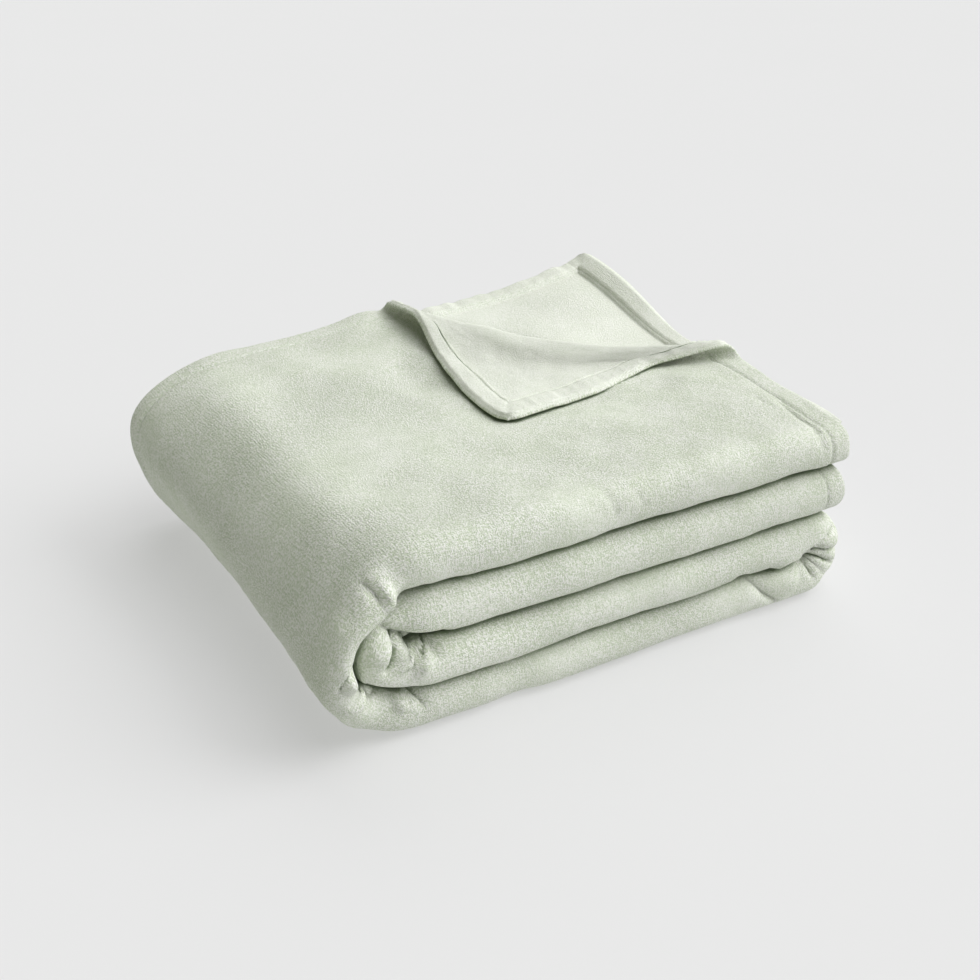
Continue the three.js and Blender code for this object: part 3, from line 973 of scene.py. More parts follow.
@dataclass
class FoldedSheet:
    """Where each place of the flat cloth lies in the folded, settled pack.

    Sizes are in millimetres; u runs across the sheet and v along it.

    Args:
        size: the pack's sizes.
        hem: the sheet's hem.
        ends: how its layers' right ends lie.
        bared: how its last layer's corner lies.
        waves: how uneven it is.
        round_in: how far each corner of the sheet is drawn in, and how broadly.
        near_front: how far to the front of the middle the wrap thins and the inner turn
            moves, from and to.
        lobe_deep: how deep behind the front folds a pucker reaches.
        flap_long: how far along the sheet the turned corner reaches.
        swells_over: heights over the table between which swells lift and sink the cloth.
        creases_over: heights over the table between which creases begin.
        strokes_over: heights over the table between which strokes begin.
        front_from: how far before the front folds their strokes begin and are whole.
        front_to: how far past the front folds they fade, from and to.
        top_past: how far past the top layer, across and along, its strokes still show.
        turn_fades: how far before the turn the top layer's strokes fade.
        inside_loose: how free the cloth inside the pack is to be uneven.
        feel: how far either side a surface is felt for its direction.
    """

    size: PackSizes
    hem: Hem = Hem()
    ends: LooseEnds = LooseEnds()
    bared: BaredCorner = BaredCorner()
    waves: Unevenness = Unevenness()
    round_in: Pair = (2.6, 5.0)
    near_front: Pair = (-110.0, 60.0)
    lobe_deep: float = 45.0
    flap_long: float = 260.0
    swells_over: Pair = (1.0, 30.0)
    creases_over: Pair = (1.0, 12.0)
    strokes_over: Pair = (1.0, 10.0)
    front_from: Pair = (40.0, 10.0)
    front_to: Pair = (6.0, 22.0)
    top_past: Pair = (10.0, 40.0)
    turn_fades: float = 14.0
    inside_loose: float = 0.35
    feel: float = 0.8

    def __post_init__(self) -> None:
        """Lays out the strip, its turned corner and its puckers."""
        self.across = section_across(self.size)
        self.along = line_along(self.size)
        self.corner = TurnedCorner(self.size)
        self.puckers = [(row, mix(*self.along.span(row.run), row.along)) for row in PUCKERS]

    def edge(self, u: Array, v: Array) -> tuple[Array, Array]:
        """How far places are from the long and the short edges of the sheet."""
        return np.minimum(u, self.across.long - u), np.minimum(v, self.along.long - v)

    def rounded(self, u: Array, v: Array) -> tuple[Array, Array]:
        """Draws the sheet's four corners in a little, so that they are round.

        Args:
            u: places across the sheet.
            v: places along it.

        Returns:
            The moved places.
        """
        far, wide = self.round_in
        du, dv = self.edge(u, v)
        move = far * bell(np.maximum(du, 0), wide) * bell(np.maximum(dv, 0), wide)
        first_u, first_v = u < self.across.long / 2, v < self.along.long / 2
        return u + np.where(first_u, move, -move), v + np.where(first_v, move, -move)

    def folded(self, u: Array, v: Array) -> Array:
        """The place in the folded pack before the corner is turned and the pack settles.

        Args:
            u: places across the sheet.
            v: places along it.

        Returns:
            A row of x, y and z for each place.
        """
        size = self.size
        s = {k: self.across.at(u, k) for k in ("y", "h", "shift")}
        n = {k: self.along.at(v, k) for k in ("x", "z", "nx", "nz", "wrap", "inner")}
        long = np.hypot(n["nx"], n["nz"])
        front = -s["y"]
        near = smooth(front, *self.near_front)
        thin = 1 - size.wrap_thins * n["wrap"] * near
        h = size.outer_layer - (size.outer_layer - s["h"]) * thin
        y = s["y"].copy()
        lobe = 1 - smooth(s["y"], size.front, size.front + self.lobe_deep)
        for row, at in self.puckers:
            y += row.deep * lobe * bell(v - at, row.wide)
        top = 1 - smooth(s["shift"], 0, size.fold_shift)
        x = n["x"] + n["nx"] / long * h - size.inner_moves * n["inner"] * near
        x += size.end_steps * s["shift"] * (1 - smooth(v, 0, self.ends.step_fades))
        x += self.ends.out(v, front, top)
        z = n["z"] + n["nz"] / long * h - self.ends.down(v, front, top, h)
        return np.stack([x, y, z], axis=-1)

    def settled(self, p: Array) -> Array:
        """Adds the settled swells and troughs; what touches the table stays on it.

        Args:
            p: places in the pack.

        Returns:
            The moved places.
        """
        out = p.copy()
        free = np.ones(len(p))
        held = np.stack([free, free, smooth(p[:, 2], *self.swells_over)], axis=-1)
        for row in SWELLS:
            far = (((p - row.at) / row.reach) ** 2).sum(axis=1)
            out += np.array(row.move) * np.exp(-far)[:, None] * held
        return out

    def middle(self, u: Array, v: Array) -> Array:
        """The cloth's middle surface before its creases.

        Args:
            u: places across the sheet.
            v: places along it.

        Returns:
            A row of x, y and z for each place.
        """
        u, v = self.rounded(u, v)
        p = self.folded(u, v)
        on_flap = (u < self.across.span(Layer.TOP)[1]) & (v < self.flap_long)
        p = np.where(on_flap[:, None], self.corner.turned(u, v, p), p)
        p += self.bared.move(self.across.long - u, v, self.corner.beyond(p[:, :2]))
        return self.settled(p)

    def loose(self, u: Array) -> Array:
        """How free the cloth is to be uneven: full where it shows, little inside."""
        top = self.across.span(Layer.FRONT_FOLD)[1]
        return np.where(u < top + self.top_past[0], 1.0, self.inside_loose)

    def normal(self, surface: Surface, u: Array, v: Array) -> Array:
        """The direction out of the wrong side of a surface of the sheet.

        Args:
            surface: the function from u and v to places.
            u: places across the sheet.
            v: places along it.

        Returns:
            A unit direction for each place.
        """
        u0, u1 = np.maximum(u - self.feel, 0), np.minimum(u + self.feel, self.across.long)
        v0, v1 = np.maximum(v - self.feel, 0), np.minimum(v + self.feel, self.along.long)
        n = np.cross(surface(u1, v) - surface(u0, v), surface(u, v1) - surface(u, v0))
        return n / np.linalg.norm(n, axis=1)[:, None]

    def creased(self, u: Array, v: Array) -> Array:
        """The middle surface with its creases, unevenness and strokes.

        Args:
            u: places across the sheet.
            v: places along it.

        Returns:
            A row of x, y and z for each place.
        """
        p = self.middle(u, v)
        high = self.waves.height(u, v) * self.loose(u)
        for row in CREASES:
            high += row.height(u, v)
        high *= smooth(p[:, 2], *self.creases_over)
        return self.stroked(u, v, p - self.normal(self.middle, u, v) * high[:, None])

    def stroked(self, u: Array, v: Array, p: Array) -> Array:
        """Draws the strokes on the cloth that shows from their sides.

        Args:
            u: places across the sheet.
            v: places along it.
            p: where they lie in the pack.

        Returns:
            Where they lie with the strokes.
        """
        top, fold = self.across.span(Layer.FRONT_FOLD)
        plan = np.stack([self.size.edge_x - v, self.size.edge_y - u], axis=-1)
        past_u, past_v = self.top_past
        first = (v < self.along.span(Run.BAND_1)[1] + past_v) & (u < top + past_u)
        begins = smooth(u, top - self.front_from[0], top - self.front_from[1])
        ends = smooth(u, fold + self.front_to[0], fold + self.front_to[1])
        shows = {
            Plane.FRONT: begins * (1 - ends) * smooth(p[:, 2], *self.strokes_over),
            Plane.TOP: np.where(first, smooth(-self.corner.beyond(plan), 0.0, self.turn_fades), 0.0),
        }
        moved = p.copy()
        for row in STROKES:
            front = row.plane is Plane.FRONT
            high = row.height(p[:, 0], p[:, 2 if front else 1]) * shows[row.plane]
            moved[:, 1 if front else 2] += -high if front else high
        return moved

    def offset(self, u: Array, v: Array, side: Side, lift: float = 0.0) -> tuple[Array, Array]:
        """Places on one side of the cloth and the directions out of it.

        Args:
            u: places across the sheet.
            v: places along it.
            side: the side.
            lift: how far beyond that side.

        Returns:
            Places in the pack and unit directions.
        """
        du, dv = self.edge(u, v)
        d = np.minimum(du, dv)
        half = np.full_like(u, self.size.cloth / 2)
        if side is Side.WRONG:
            half += self.hem.extra_height(du, dv, np.where(du < dv, v, u))
        else:
            half -= self.hem.groove(d, self.hem.seam_face)
        half *= self.hem.thinned(d)
        way = self.normal(self.creased, u, v) * side.value
        return self.creased(u, v) + way * (half + lift)[:, None], way

    def to_frame(self, p: Array) -> Array:
        """Moves places to the part's own frame, in metres."""
        return (p - np.array([self.size.centre_x, self.size.centre_y, 0.0])) * MM


class Zone(Enum):
    """The zones that the sheet is cut in, across it or along it."""

    HEM = "hem"
    FLAP = "turned corner"
    OUTER = "outer layer or first band"
    WRAP = "wrap"
    FRONT = "front fold"
    INSIDE = "inside"
    BARED = "bared corner"
    FAR_HEM = "far hem"


OUTSIDE_ACROSS = (Zone.HEM, Zone.FLAP, Zone.OUTER)
OUTSIDE_ALONG = (Zone.HEM, Zone.FLAP, Zone.OUTER, Zone.WRAP)
BARED_ACROSS = (Zone.BARED, Zone.FAR_HEM)
BARED_ALONG = (Zone.HEM, Zone.FLAP)


@dataclass(frozen=True)
class Lines:
    """The places that a zone is cut at.

    Args:
        zone: the zone.
        fine: its lines where the cloth shows.
        rough: its lines inside the pack.
        front: its lines on the front folds.
    """

    zone: Zone
    fine: list[float]
    rough: list[float]
    front: list[float]

    def mirrored(self, zone: Zone, end: float) -> "Lines":
        """The same lines counted back from the sheet's other edge."""
        rows = (self.fine, self.rough, self.front)
        return Lines(zone, *([end - x for x in reversed(row)] for row in rows))


def even_lines(zone: Zone, start: float, end: float, *gaps: float) -> Lines:
    """Evenly spaced lines for a zone, about the given gaps apart: fine, rough and front ones."""
    fine, rough, *front = (steps(start, end, gap) for gap in gaps)
    return Lines(zone, fine, rough, front[0] if front else fine)


@dataclass
class SheetGrid:
    """The flat cloth cut into cells, finer where more of it shows, in millimetres.

    Args:
        sheet: the folded sheet that it is cut for.
        hem: places of the lines in the hem, close beside its seam and its step.
        rough_hem: the same inside the pack.
        flap: how far the turned corner's cells reach across and along the sheet.
        front: how far the front folds' cells reach before and past them.
        bared: how far from the far edge the bared corner's cells reach.
        near: how far the fine cells of the bands reach from their turns.
        right: how far they reach from the right turn.
        rim_steps: how many cells round the rim from side to side.
        rim_near: how near an edge a place on the rim faces out of it.
        rim_inset: how far inside the rim its direction is felt.
        rim_full: how round the rim is.
        digits: decimals up to which two places are the same.
    """

    sheet: FoldedSheet
    hem: tuple[float, ...] = (
        0.0, 0.8, 1.8, 3.2, 5.5, 8.5, 11.5, 13.6, 14.5, 15.2, 15.9, 16.8, 17.6, 18.4, 20.0,
    )
    rough_hem: tuple[float, ...] = (0.0, 3.2, 11.5, 16.8, 18.4, 20.0)
    flap: Pair = (232.0, 206.0)
    front: Pair = (12.0, 14.0)
    bared: float = 190.0
    near: float = 32.0
    right: float = 80.0
    rim_steps: int = 4
    rim_near: float = 1.0
    rim_inset: float = 0.8
    rim_full: float = 0.9
    digits: int = 3
    places: list[Pair] = field(default_factory=list)
    known: dict[Pair, int] = field(default_factory=dict)
    boxes: list[tuple[float, float, float, float]] = field(default_factory=list)

    def point(self, u: float, v: float) -> int:
        """The number of the point at a place, which is added if it is new."""
        key = (round(u, self.digits), round(v, self.digits))
        if key not in self.known:
            self.known[key] = len(self.places)
            self.places.append((u, v))
        return self.known[key]

    def block(self, us: Sequence[float], vs: Sequence[float]) -> None:
        """Adds the cells between lines across and along the sheet."""
        for u in us:
            for v in vs:
                self.point(u, v)
        for u0, u1 in zip(us, us[1:]):
            self.boxes.extend((u0, u1, v0, v1) for v0, v1 in zip(vs, vs[1:]))

    def with_hems(self, end: float, zones: list[Lines]) -> list[Lines]:
        """Puts the hems' lines before and after those of the cloth between them."""
        hem = Lines(Zone.HEM, self.hem, self.rough_hem, self.hem)
        return [hem, *zones, hem.mirrored(Zone.FAR_HEM, end)]

    def across_lines(self) -> list[Lines]:
        """The lines across the sheet; a zone's last numbers are its fine and rough gaps.

        Returns:
            Each zone's lines, from hem to hem.
        """
        across, hem, flap = self.sheet.across, self.hem[-1], self.flap[0]
        end = across.long
        fold_start, fold_end = across.span(Layer.FRONT_FOLD)
        before, past = fold_start - self.front[0], fold_end + self.front[1]
        inner = across.span(Layer.INNER_FOLD)[1]
        return self.with_hems(end, [
            even_lines(Zone.FLAP, hem, flap, 2.65, 14),
            even_lines(Zone.OUTER, flap, before, 4.5, 15),
            even_lines(Zone.FRONT, before, past, 2.2, 4.4),
            even_lines(Zone.INSIDE, past, inner, 13, 13),
            even_lines(Zone.INSIDE, inner, end - self.bared, 14, 14),
            even_lines(Zone.BARED, end - self.bared, end - hem, 5, 14),
        ])

    def along_lines(self) -> list[Lines]:
        """The lines along the sheet; a zone's last numbers are its fine, rough and front gaps.

        Returns:
            Each zone's lines, from hem to hem.
        """
        along, hem, flap = self.sheet.along, self.hem[-1], self.flap[1]
        end = along.long
        start_4, end_4 = along.span(Run.BAND_4)
        start_3, end_3 = along.span(Run.BAND_3)
        start_2 = along.span(Run.BAND_2)[0]
        near_4, right_4 = start_4 + self.near, end_4 - self.right
        near_3, near_2 = end_3 - self.near, start_2 + self.near
        return self.with_hems(end, [
            even_lines(Zone.FLAP, hem, flap, 2.65, 10, 3.4),
            even_lines(Zone.OUTER, flap, along.span(Run.BAND_1)[1], 5, 14, 3.4),
            even_lines(Zone.WRAP, *along.span(Run.WRAP), 4.2, 9, 2.2),
            even_lines(Zone.INSIDE, start_4, near_4, 6, 14, 2.0),
            even_lines(Zone.INSIDE, near_4, right_4, 6, 14, 6),
            even_lines(Zone.INSIDE, right_4, end_4, 6, 14, 2.2),
            even_lines(Zone.INSIDE, *along.span(Run.RIGHT_TURN), 1.9, 4, 1.6),
            even_lines(Zone.INSIDE, start_3, near_3, 6, 14, 6),
            even_lines(Zone.INSIDE, near_3, end_3, 6, 14, 2.0),
            even_lines(Zone.INSIDE, *along.span(Run.INNER_TURN), 2.2, 5, 1.6),
            even_lines(Zone.INSIDE, start_2, near_2, 6, 14, 2.2),
            even_lines(Zone.INSIDE, near_2, end - hem, 6, 14, 6),
        ])

    def cut(self) -> None:
        """Cuts the whole sheet: fine where it shows, coarse inside the pack."""
        for a in self.across_lines():
            for b in self.along_lines():
                on_front = a.zone is Zone.FRONT
                outside = a.zone in OUTSIDE_ACROSS and b.zone in OUTSIDE_ALONG
                bared = a.zone in BARED_ACROSS and b.zone in BARED_ALONG
                shows = on_front or outside or bared
                open_end = b.zone in (Zone.HEM, Zone.FAR_HEM) and a.zone is not Zone.INSIDE
                us = a.fine if shows else a.rough
                if a.zone is Zone.FLAP and b.zone in (Zone.OUTER, Zone.WRAP):
                    us = a.fine[::2]
                vs = b.front if on_front else b.fine if shows or open_end else b.rough
                self.block(us, vs)

    def polygons(self) -> list[list[int]]:
        """Each cell as a loop of points, those of finer neighbours on its sides included.

        Returns:
            The loops, as numbers of points.
        """
        by_u: dict[float, list[float]] = {}
        by_v: dict[float, list[float]] = {}
        for u, v in self.known:
            by_u.setdefault(u, []).append(v)
            by_v.setdefault(v, []).append(u)
        for row in (*by_u.values(), *by_v.values()):
            row.sort()

        def between(row: list[float], low: float, high: float) -> list[float]:
            """The places of a row from low to high."""
            return row[bisect_left(row, low):bisect_right(row, high)]

        out = []
        for box in self.boxes:
            u0, u1, v0, v1 = (round(x, self.digits) for x in box)
            loop = [(u, v0) for u in between(by_v[v0], u0, u1)][:-1]
            loop += [(u1, v) for v in between(by_u[u1], v0, v1)][:-1]
            loop += [(u, v1) for u in reversed(between(by_v[v1], u0, u1))][:-1]
            loop += [(u0, v) for v in reversed(between(by_u[u0], v0, v1))][:-1]
            out.append([self.known[key] for key in loop])
        return out

    def rim_rings(self, u: Array, v: Array, high: Array, low: Array) -> tuple[list[Array], list[Array]]:
        """The rings of points that round the rim between the two sides of the cloth.

        Args:
            u: the rim's places across the sheet.
            v: its places along it.
            high: its points on the wrong side.
            low: its points on the face.

        Returns:
            Each ring's points, and its flat places.
        """
        near, ends = self.rim_near, (self.sheet.across.long, self.sheet.along.long)
        sides = [(x < near).astype(float) - (x > end - near) for x, end in zip((u, v), ends)]
        inward = self.rim_inset * np.stack(sides, axis=1)
        out = self.sheet.creased(u, v) - self.sheet.creased(u + inward[:, 0], v + inward[:, 1])
        out /= np.linalg.norm(out, axis=1)[:, None]
        half = np.linalg.norm(high - low, axis=1)[:, None] / 2
        rings, flat = [], []
        for k in range(1, self.rim_steps):
            angle = math.pi * k / self.rim_steps
            bulge = out * half * math.sin(angle) * self.rim_full
            rings.append((high + low) / 2 + (high - low) / 2 * math.cos(angle) + bulge)
            flat.append(np.stack([u, v], axis=1) - inward * (k / self.rim_steps))
        return rings, flat

    def mesh(self, name: str) -> bpy.types.Mesh:
        """Both sides of the cloth and its rounded rim, as one closed mesh.

        Args:
            name: the mesh's name.

        Returns:
            The mesh, with the cloth's own flat places as its UV map, in metres.
        """
        self.cut()
        loops = self.polygons()
        u, v = np.array(self.places).T
        wrong, _ = self.sheet.offset(u, v, Side.WRONG)
        face, _ = self.sheet.offset(u, v, Side.FACE)
        count = len(u)
        edges = open_edges(loops)
        rim = sorted({k for edge in edges for k in edge})
        slot = {k: i for i, k in enumerate(rim)}
        rings, ring_flat = self.rim_rings(u[rim], v[rim], wrong[rim], face[rim])
        faces = loops + [[count + k for k in reversed(loop)] for loop in loops]

        def at(ring: int, k: int) -> int:
            """The number of a rim point on a ring; the first and last are on the two sides."""
            if ring in (0, self.rim_steps):
                return k if ring == 0 else count + k
            return 2 * count + (ring - 1) * len(rim) + slot[k]

        for a, b in edges:
            for k in range(self.rim_steps):
                faces.append([at(k, b), at(k, a), at(k + 1, a), at(k + 1, b)])
        mesh = bpy.data.meshes.new(name)
        places = self.sheet.to_frame(np.concatenate([wrong, face, *rings]))
        places[:, 2] = np.maximum(places[:, 2], 0.0)
        mesh.from_pydata(places.tolist(), [], faces)
        flat = np.stack([u, v], axis=1)
        mark_cloth(mesh, np.concatenate([flat, flat, *ring_flat]) * MM, count)
        log.info("cloth mesh: %d triangles", sum(len(loop) - 2 for loop in faces))
        return mesh


def open_edges(loops: list[list[int]]) -> list[tuple[int, int]]:
    """The edges that only one loop has, which run along the rim.

    Args:
        loops: cells, as numbers of points.

    Returns:
        Pairs of points, in order.
    """
    found: set[tuple[int, int]] = set()
    for loop in loops:
        for a, b in zip(loop, loop[1:] + loop[:1]):
            if (b, a) in found:
                found.remove((b, a))
            else:
                found.add((a, b))
    return sorted(found)


def mark_cloth(mesh: bpy.types.Mesh, flat: Array, inside: int) -> None:
    """Gives a cloth mesh its UV map and the marks that its finish reads: its wrong side, and how closely
    other cloth covers it, from which shade is painted into its colour.

    Args:
        mesh: the mesh.
        flat: the flat place of each of its points, in metres.
        inside: how many of its points, the first ones, are on the wrong side.
    """
    corners = np.empty(len(mesh.loops), np.int32)
    mesh.loops.foreach_get("vertex_index", corners)
    mesh.uv_layers.new(name="cloth").data.foreach_set("uv", flat[corners].ravel())
    mesh.shade_smooth()
    mesh.update()
    wrong = (np.arange(len(mesh.vertices)) < inside).astype(np.float32)
    # the second mark is how closely cloth is covered, from which the finish paints shade into crevices and
    # under overhangs
    for name, share in (("inside", wrong), ("painted_shade_cover", cover_for_painted_shade(mesh))):
        mesh.attributes.new(name, "FLOAT", "POINT").data.foreach_set("value", share)


def cover_for_painted_shade(mesh: bpy.types.Mesh, reach: float = 0.011, lean: float = 0.75, clear: float = 0.0004) -> Array:
    """How closely other cloth faces each corner of a mesh; the cloth's finish paints shade from this.

    Args:
        mesh: the mesh.
        reach: how far cloth is looked for, in metres.
        lean: how far the looks to each side lean.
        clear: how far over the cloth the looks start, in metres.

    Returns:
        A share for each corner, 0 in the open and 1 where cloth lies on it.
    """
    tree = BVHTree.FromPolygons([v.co for v in mesh.vertices], [f.vertices for f in mesh.polygons])
    found = np.zeros(len(mesh.vertices), np.float32)
    for k, corner in enumerate(mesh.vertices):
        n = corner.normal
        a = n.orthogonal().normalized() * lean
        b = n.cross(a)
        start, ways = corner.co + n * clear, (n, n + a, n - a, n + b, n - b)
        for way in ways:
            far = tree.ray_cast(start, way, reach)[3]
            if far is not None:
                found[k] += (1 - far / reach) / len(ways)
    return found


class Nodes:
    """A small helper that adds and joins the nodes of one tree.

    Args:
        tree: the node tree.
    """

    def __init__(self, tree: bpy.types.NodeTree) -> None:
        """Takes the tree that the nodes go into."""
        self.tree = tree

    def add(self, kind: str, **values: object) -> bpy.types.Node:
        """Adds a node and sets its own values, such as its operation."""
        node = self.tree.nodes.new(kind)
        for key, value in values.items():
            setattr(node, key, value)
        return node

    def join(self, source: Feed, target: bpy.types.NodeSocket) -> None:
        """Joins an output to an input, or sets the input to a plain value."""
        if isinstance(source, bpy.types.NodeSocket):
            self.tree.links.new(source, target)
        else:
            target.default_value = source

    def feed(self, node: bpy.types.Node, values: dict[str | int, Feed]) -> bpy.types.Node:
        """Feeds a node's inputs, by their names or numbers, and gives the node back."""
        for key, value in values.items():
            self.join(value, node.inputs[key])
        return node

    def math(self, operation: str, *values: Feed, clamp: bool = False) -> bpy.types.NodeSocket:
        """One sum of two or three values."""
        node = self.add("ShaderNodeMath", operation=operation, use_clamp=clamp)
        return self.feed(node, dict(enumerate(values))).outputs[0]

    def plus(self, a: Feed, b: Feed, clamp: bool = False) -> bpy.types.NodeSocket:
        """a and b together."""
        return self.math("ADD", a, b, clamp=clamp)

    def less(self, a: Feed, b: Feed) -> bpy.types.NodeSocket:
        """a less b."""
        return self.math("SUBTRACT", a, b)

    def times(self, a: Feed, b: Feed, clamp: bool = False) -> bpy.types.NodeSocket:
        """a times b."""
        return self.math("MULTIPLY", a, b, clamp=clamp)

    def blend(self, factor: Feed, a: Feed, b: Feed) -> bpy.types.NodeSocket:
        """A mix of two colours."""
        node = self.add("ShaderNodeMix", data_type="RGBA")
        return self.feed(node, {0: factor, 6: a, 7: b}).outputs[2]

    def between(self, factor: Feed, a: Feed, b: Feed) -> bpy.types.NodeSocket:
        """A mix of two numbers."""
        node = self.add("ShaderNodeMix", data_type="FLOAT")
        return self.feed(node, {0: factor, 2: a, 3: b}).outputs[0]

    def ramp(self, value: Feed, low: float, high: float) -> bpy.types.NodeSocket:
        """A soft step from 0 to 1 as a value goes from low to high."""
        node = self.add("ShaderNodeMapRange", interpolation_type="SMOOTHSTEP")
        return self.feed(node, {0: value, 1: low, 2: high}).outputs[0]

    def noise(
        self, place: Feed, scale: float, detail: float = 2.0, rough: float = 0.5
    ) -> bpy.types.NodeSocket:
        """Soft noise at a place."""
        values = {"Vector": place, "Scale": scale, "Detail": detail, "Roughness": rough}
        return self.feed(self.add("ShaderNodeTexNoise"), values).outputs["Fac"]

    def place(self, *values: Feed) -> bpy.types.NodeSocket:
        """A place made of two or three values."""
        return self.feed(self.add("ShaderNodeCombineXYZ"), dict(enumerate(values))).outputs[0]

    def attribute(self, name: str) -> bpy.types.NodeSocket:
        """A number that the mesh holds under a name."""
        return self.add("ShaderNodeAttribute", attribute_name=name).outputs["Fac"]


def new_material(name: str) -> tuple[bpy.types.Material, Nodes, bpy.types.Node]:
    """A new material, a helper for its nodes, and its shader."""
    made = bpy.data.materials.new(name)
    made.use_nodes = True
    return made, Nodes(made.node_tree), made.node_tree.nodes["Principled BSDF"]


@dataclass(frozen=True)
class PlainWeave:
    """The weave that every woven finish shares: a plain weave of slubby melange yarns, with shade painted
    into the gaps between them.

    Lengths count yarns. Scales are in cells to a yarn, or to a metre for clouds and patches.

    Args:
        bend: how far the yarns wander.
        bend_scales: scale of that, for the two ways of the yarns.
        rib: share of the slanting rib in the weave; the rest is its crossings.
        crossing: how softly one yarn gives way to the other.
        warp_tone: how fast one yarn's tone changes, the two ways.
        weft_tone: the same for the other yarn.
        rough: roughness of the tones, the grain and the clouds.
        grain: scale of the fine grain.
        clouds: scale of the wide mottle.
        patches: scale of the patches where flecks are strong.
        patch_soft: the noise between which a patch begins.
        fleck: strength of the flecks outside the patches, and what a patch adds.
        fleck_soft: half the tone over which a fleck goes from dark to pale.
        gap_wide: how wide the gaps between yarns are.
        gap_dark: how dark the painted shade in them is.
        gap_pale: sets how much less painted shade they get where a yarn is pale.
        crown: height of the yarns over the gaps.
        slub_soft: the tone between which a slub stands up.
        grain_high: height of the grain.
        relief: share of the height outside the patches, and what a patch adds.
    """

    bend: float = 1.8
    bend_scales: Pair = (0.21, 0.27)
    rib: float = 0.4
    crossing: float = 0.4
    warp_tone: Pair = (0.95, 0.3)
    weft_tone: Pair = (0.27, 1.05)
    rough: float = 0.6
    grain: float = 1.1
    clouds: float = 34.0
    patches: float = 12.0
    patch_soft: Pair = (0.3, 0.7)
    fleck: Pair = (0.4, 1.3)
    fleck_soft: float = 0.14
    gap_wide: float = 0.5
    gap_dark: float = 0.3
    gap_pale: float = 1.3
    crown: float = 0.22
    slub_soft: Pair = (0.3, 0.7)
    grain_high: float = 0.9
    relief: Pair = (0.65, 0.5)

    def group(self) -> bpy.types.NodeTree:
        """Builds the weave.

        Returns:
            A shader node group that reads a flat place in metres and puts out a colour with
            painted shade in the gaps between yarns, a height and how fuzzy the cloth is there.
        """
        tree = bpy.data.node_groups.new("plain weave", "ShaderNodeTree")
        make = tree.interface.new_socket
        make("Place", in_out="INPUT", socket_type="NodeSocketVector")
        for name, value in (("Yarn pitch", 0.0016), ("Slub", 0.5), ("Mottle", 1.0)):
            make(name, in_out="INPUT", socket_type="NodeSocketFloat").default_value = value
        for name in ("Yarn colour", "Pale yarn colour", "Shade colour"):
            make(name, in_out="INPUT", socket_type="NodeSocketColor")
        make("Colour", in_out="OUTPUT", socket_type="NodeSocketColor")
        for name in ("Height", "Fuzz"):
            make(name, in_out="OUTPUT", socket_type="NodeSocketFloat")
        n = Nodes(tree)
        given, result = n.add("NodeGroupInput").outputs, n.add("NodeGroupOutput")
        split = n.feed(n.add("ShaderNodeSeparateXYZ"), {0: given["Place"]}).outputs
        a, b = (n.math("DIVIDE", split[k], given["Yarn pitch"]) for k in (0, 1))
        straight = n.place(a, b)
        over = self.crossings(n, a, b, straight)
        grain = n.noise(straight, self.grain, rough=self.rough)
        tones = [
            n.noise(n.place(n.times(a, fast), n.times(b, slow)), 1.0, 3.0, self.rough)
            for fast, slow in (self.weft_tone, self.warp_tone)
        ]
        tone = n.between(n.ramp(over, -self.crossing, self.crossing), *tones)
        patchy = n.ramp(n.noise(given["Place"], self.patches), *self.patch_soft)
        flecks = n.less(n.plus(tone, grain), 1.0)
        flecked = n.times(flecks, n.plus(n.times(patchy, self.fleck[1]), self.fleck[0]))
        cloud = n.noise(given["Place"], self.clouds, 3.0, self.rough)
        mottled = n.times(n.less(cloud, 0.5), given["Mottle"])
        share = n.plus(n.ramp(flecked, -self.fleck_soft, self.fleck_soft), mottled, clamp=True)
        # painted shade: the gaps between yarns darken towards the shade colour, less where the yarn is pale
        gap = n.less(1.0, n.ramp(n.math("ABSOLUTE", over), 0.0, self.gap_wide))
        low = n.times(n.times(gap, n.less(self.gap_pale, share)), self.gap_dark, clamp=True)
        colour = n.blend(share, given["Yarn colour"], given["Pale yarn colour"])
        crown = n.times(n.less(1.0, gap), self.crown)
        slub = n.times(n.ramp(tone, *self.slub_soft), given["Slub"])
        high = n.plus(n.plus(crown, slub), n.times(grain, self.grain_high))
        relief = n.plus(n.times(patchy, self.relief[1]), self.relief[0])
        n.feed(result, {
            "Colour": n.blend(low, colour, given["Shade colour"]),
            "Height": n.times(high, relief),
            "Fuzz": share,
        })
        return tree

    def crossings(self, n: Nodes, a: Feed, b: Feed, straight: Feed) -> bpy.types.NodeSocket:
        """The wandering yarns as they cross over and under each other.

        Args:
            n: the helper for the group's nodes.
            a: the place one way, in yarns.
            b: the place the other way.
            straight: the place made of both.

        Returns:
            A number that is above zero where one yarn lies on top, and below where the other does.
        """
        bent_a, bent_b = (
            n.plus(x, n.times(n.less(n.noise(straight, scale), 0.5), self.bend))
            for x, scale in zip((a, b), self.bend_scales)
        )
        wave_a, wave_b, rib = (
            n.math("SINE", n.times(x, math.pi)) for x in (bent_a, bent_b, n.plus(bent_a, bent_b))
        )
        plain = n.times(n.times(wave_a, wave_b), 1 - self.rib)
        return n.plus(plain, n.times(rib, self.rib))


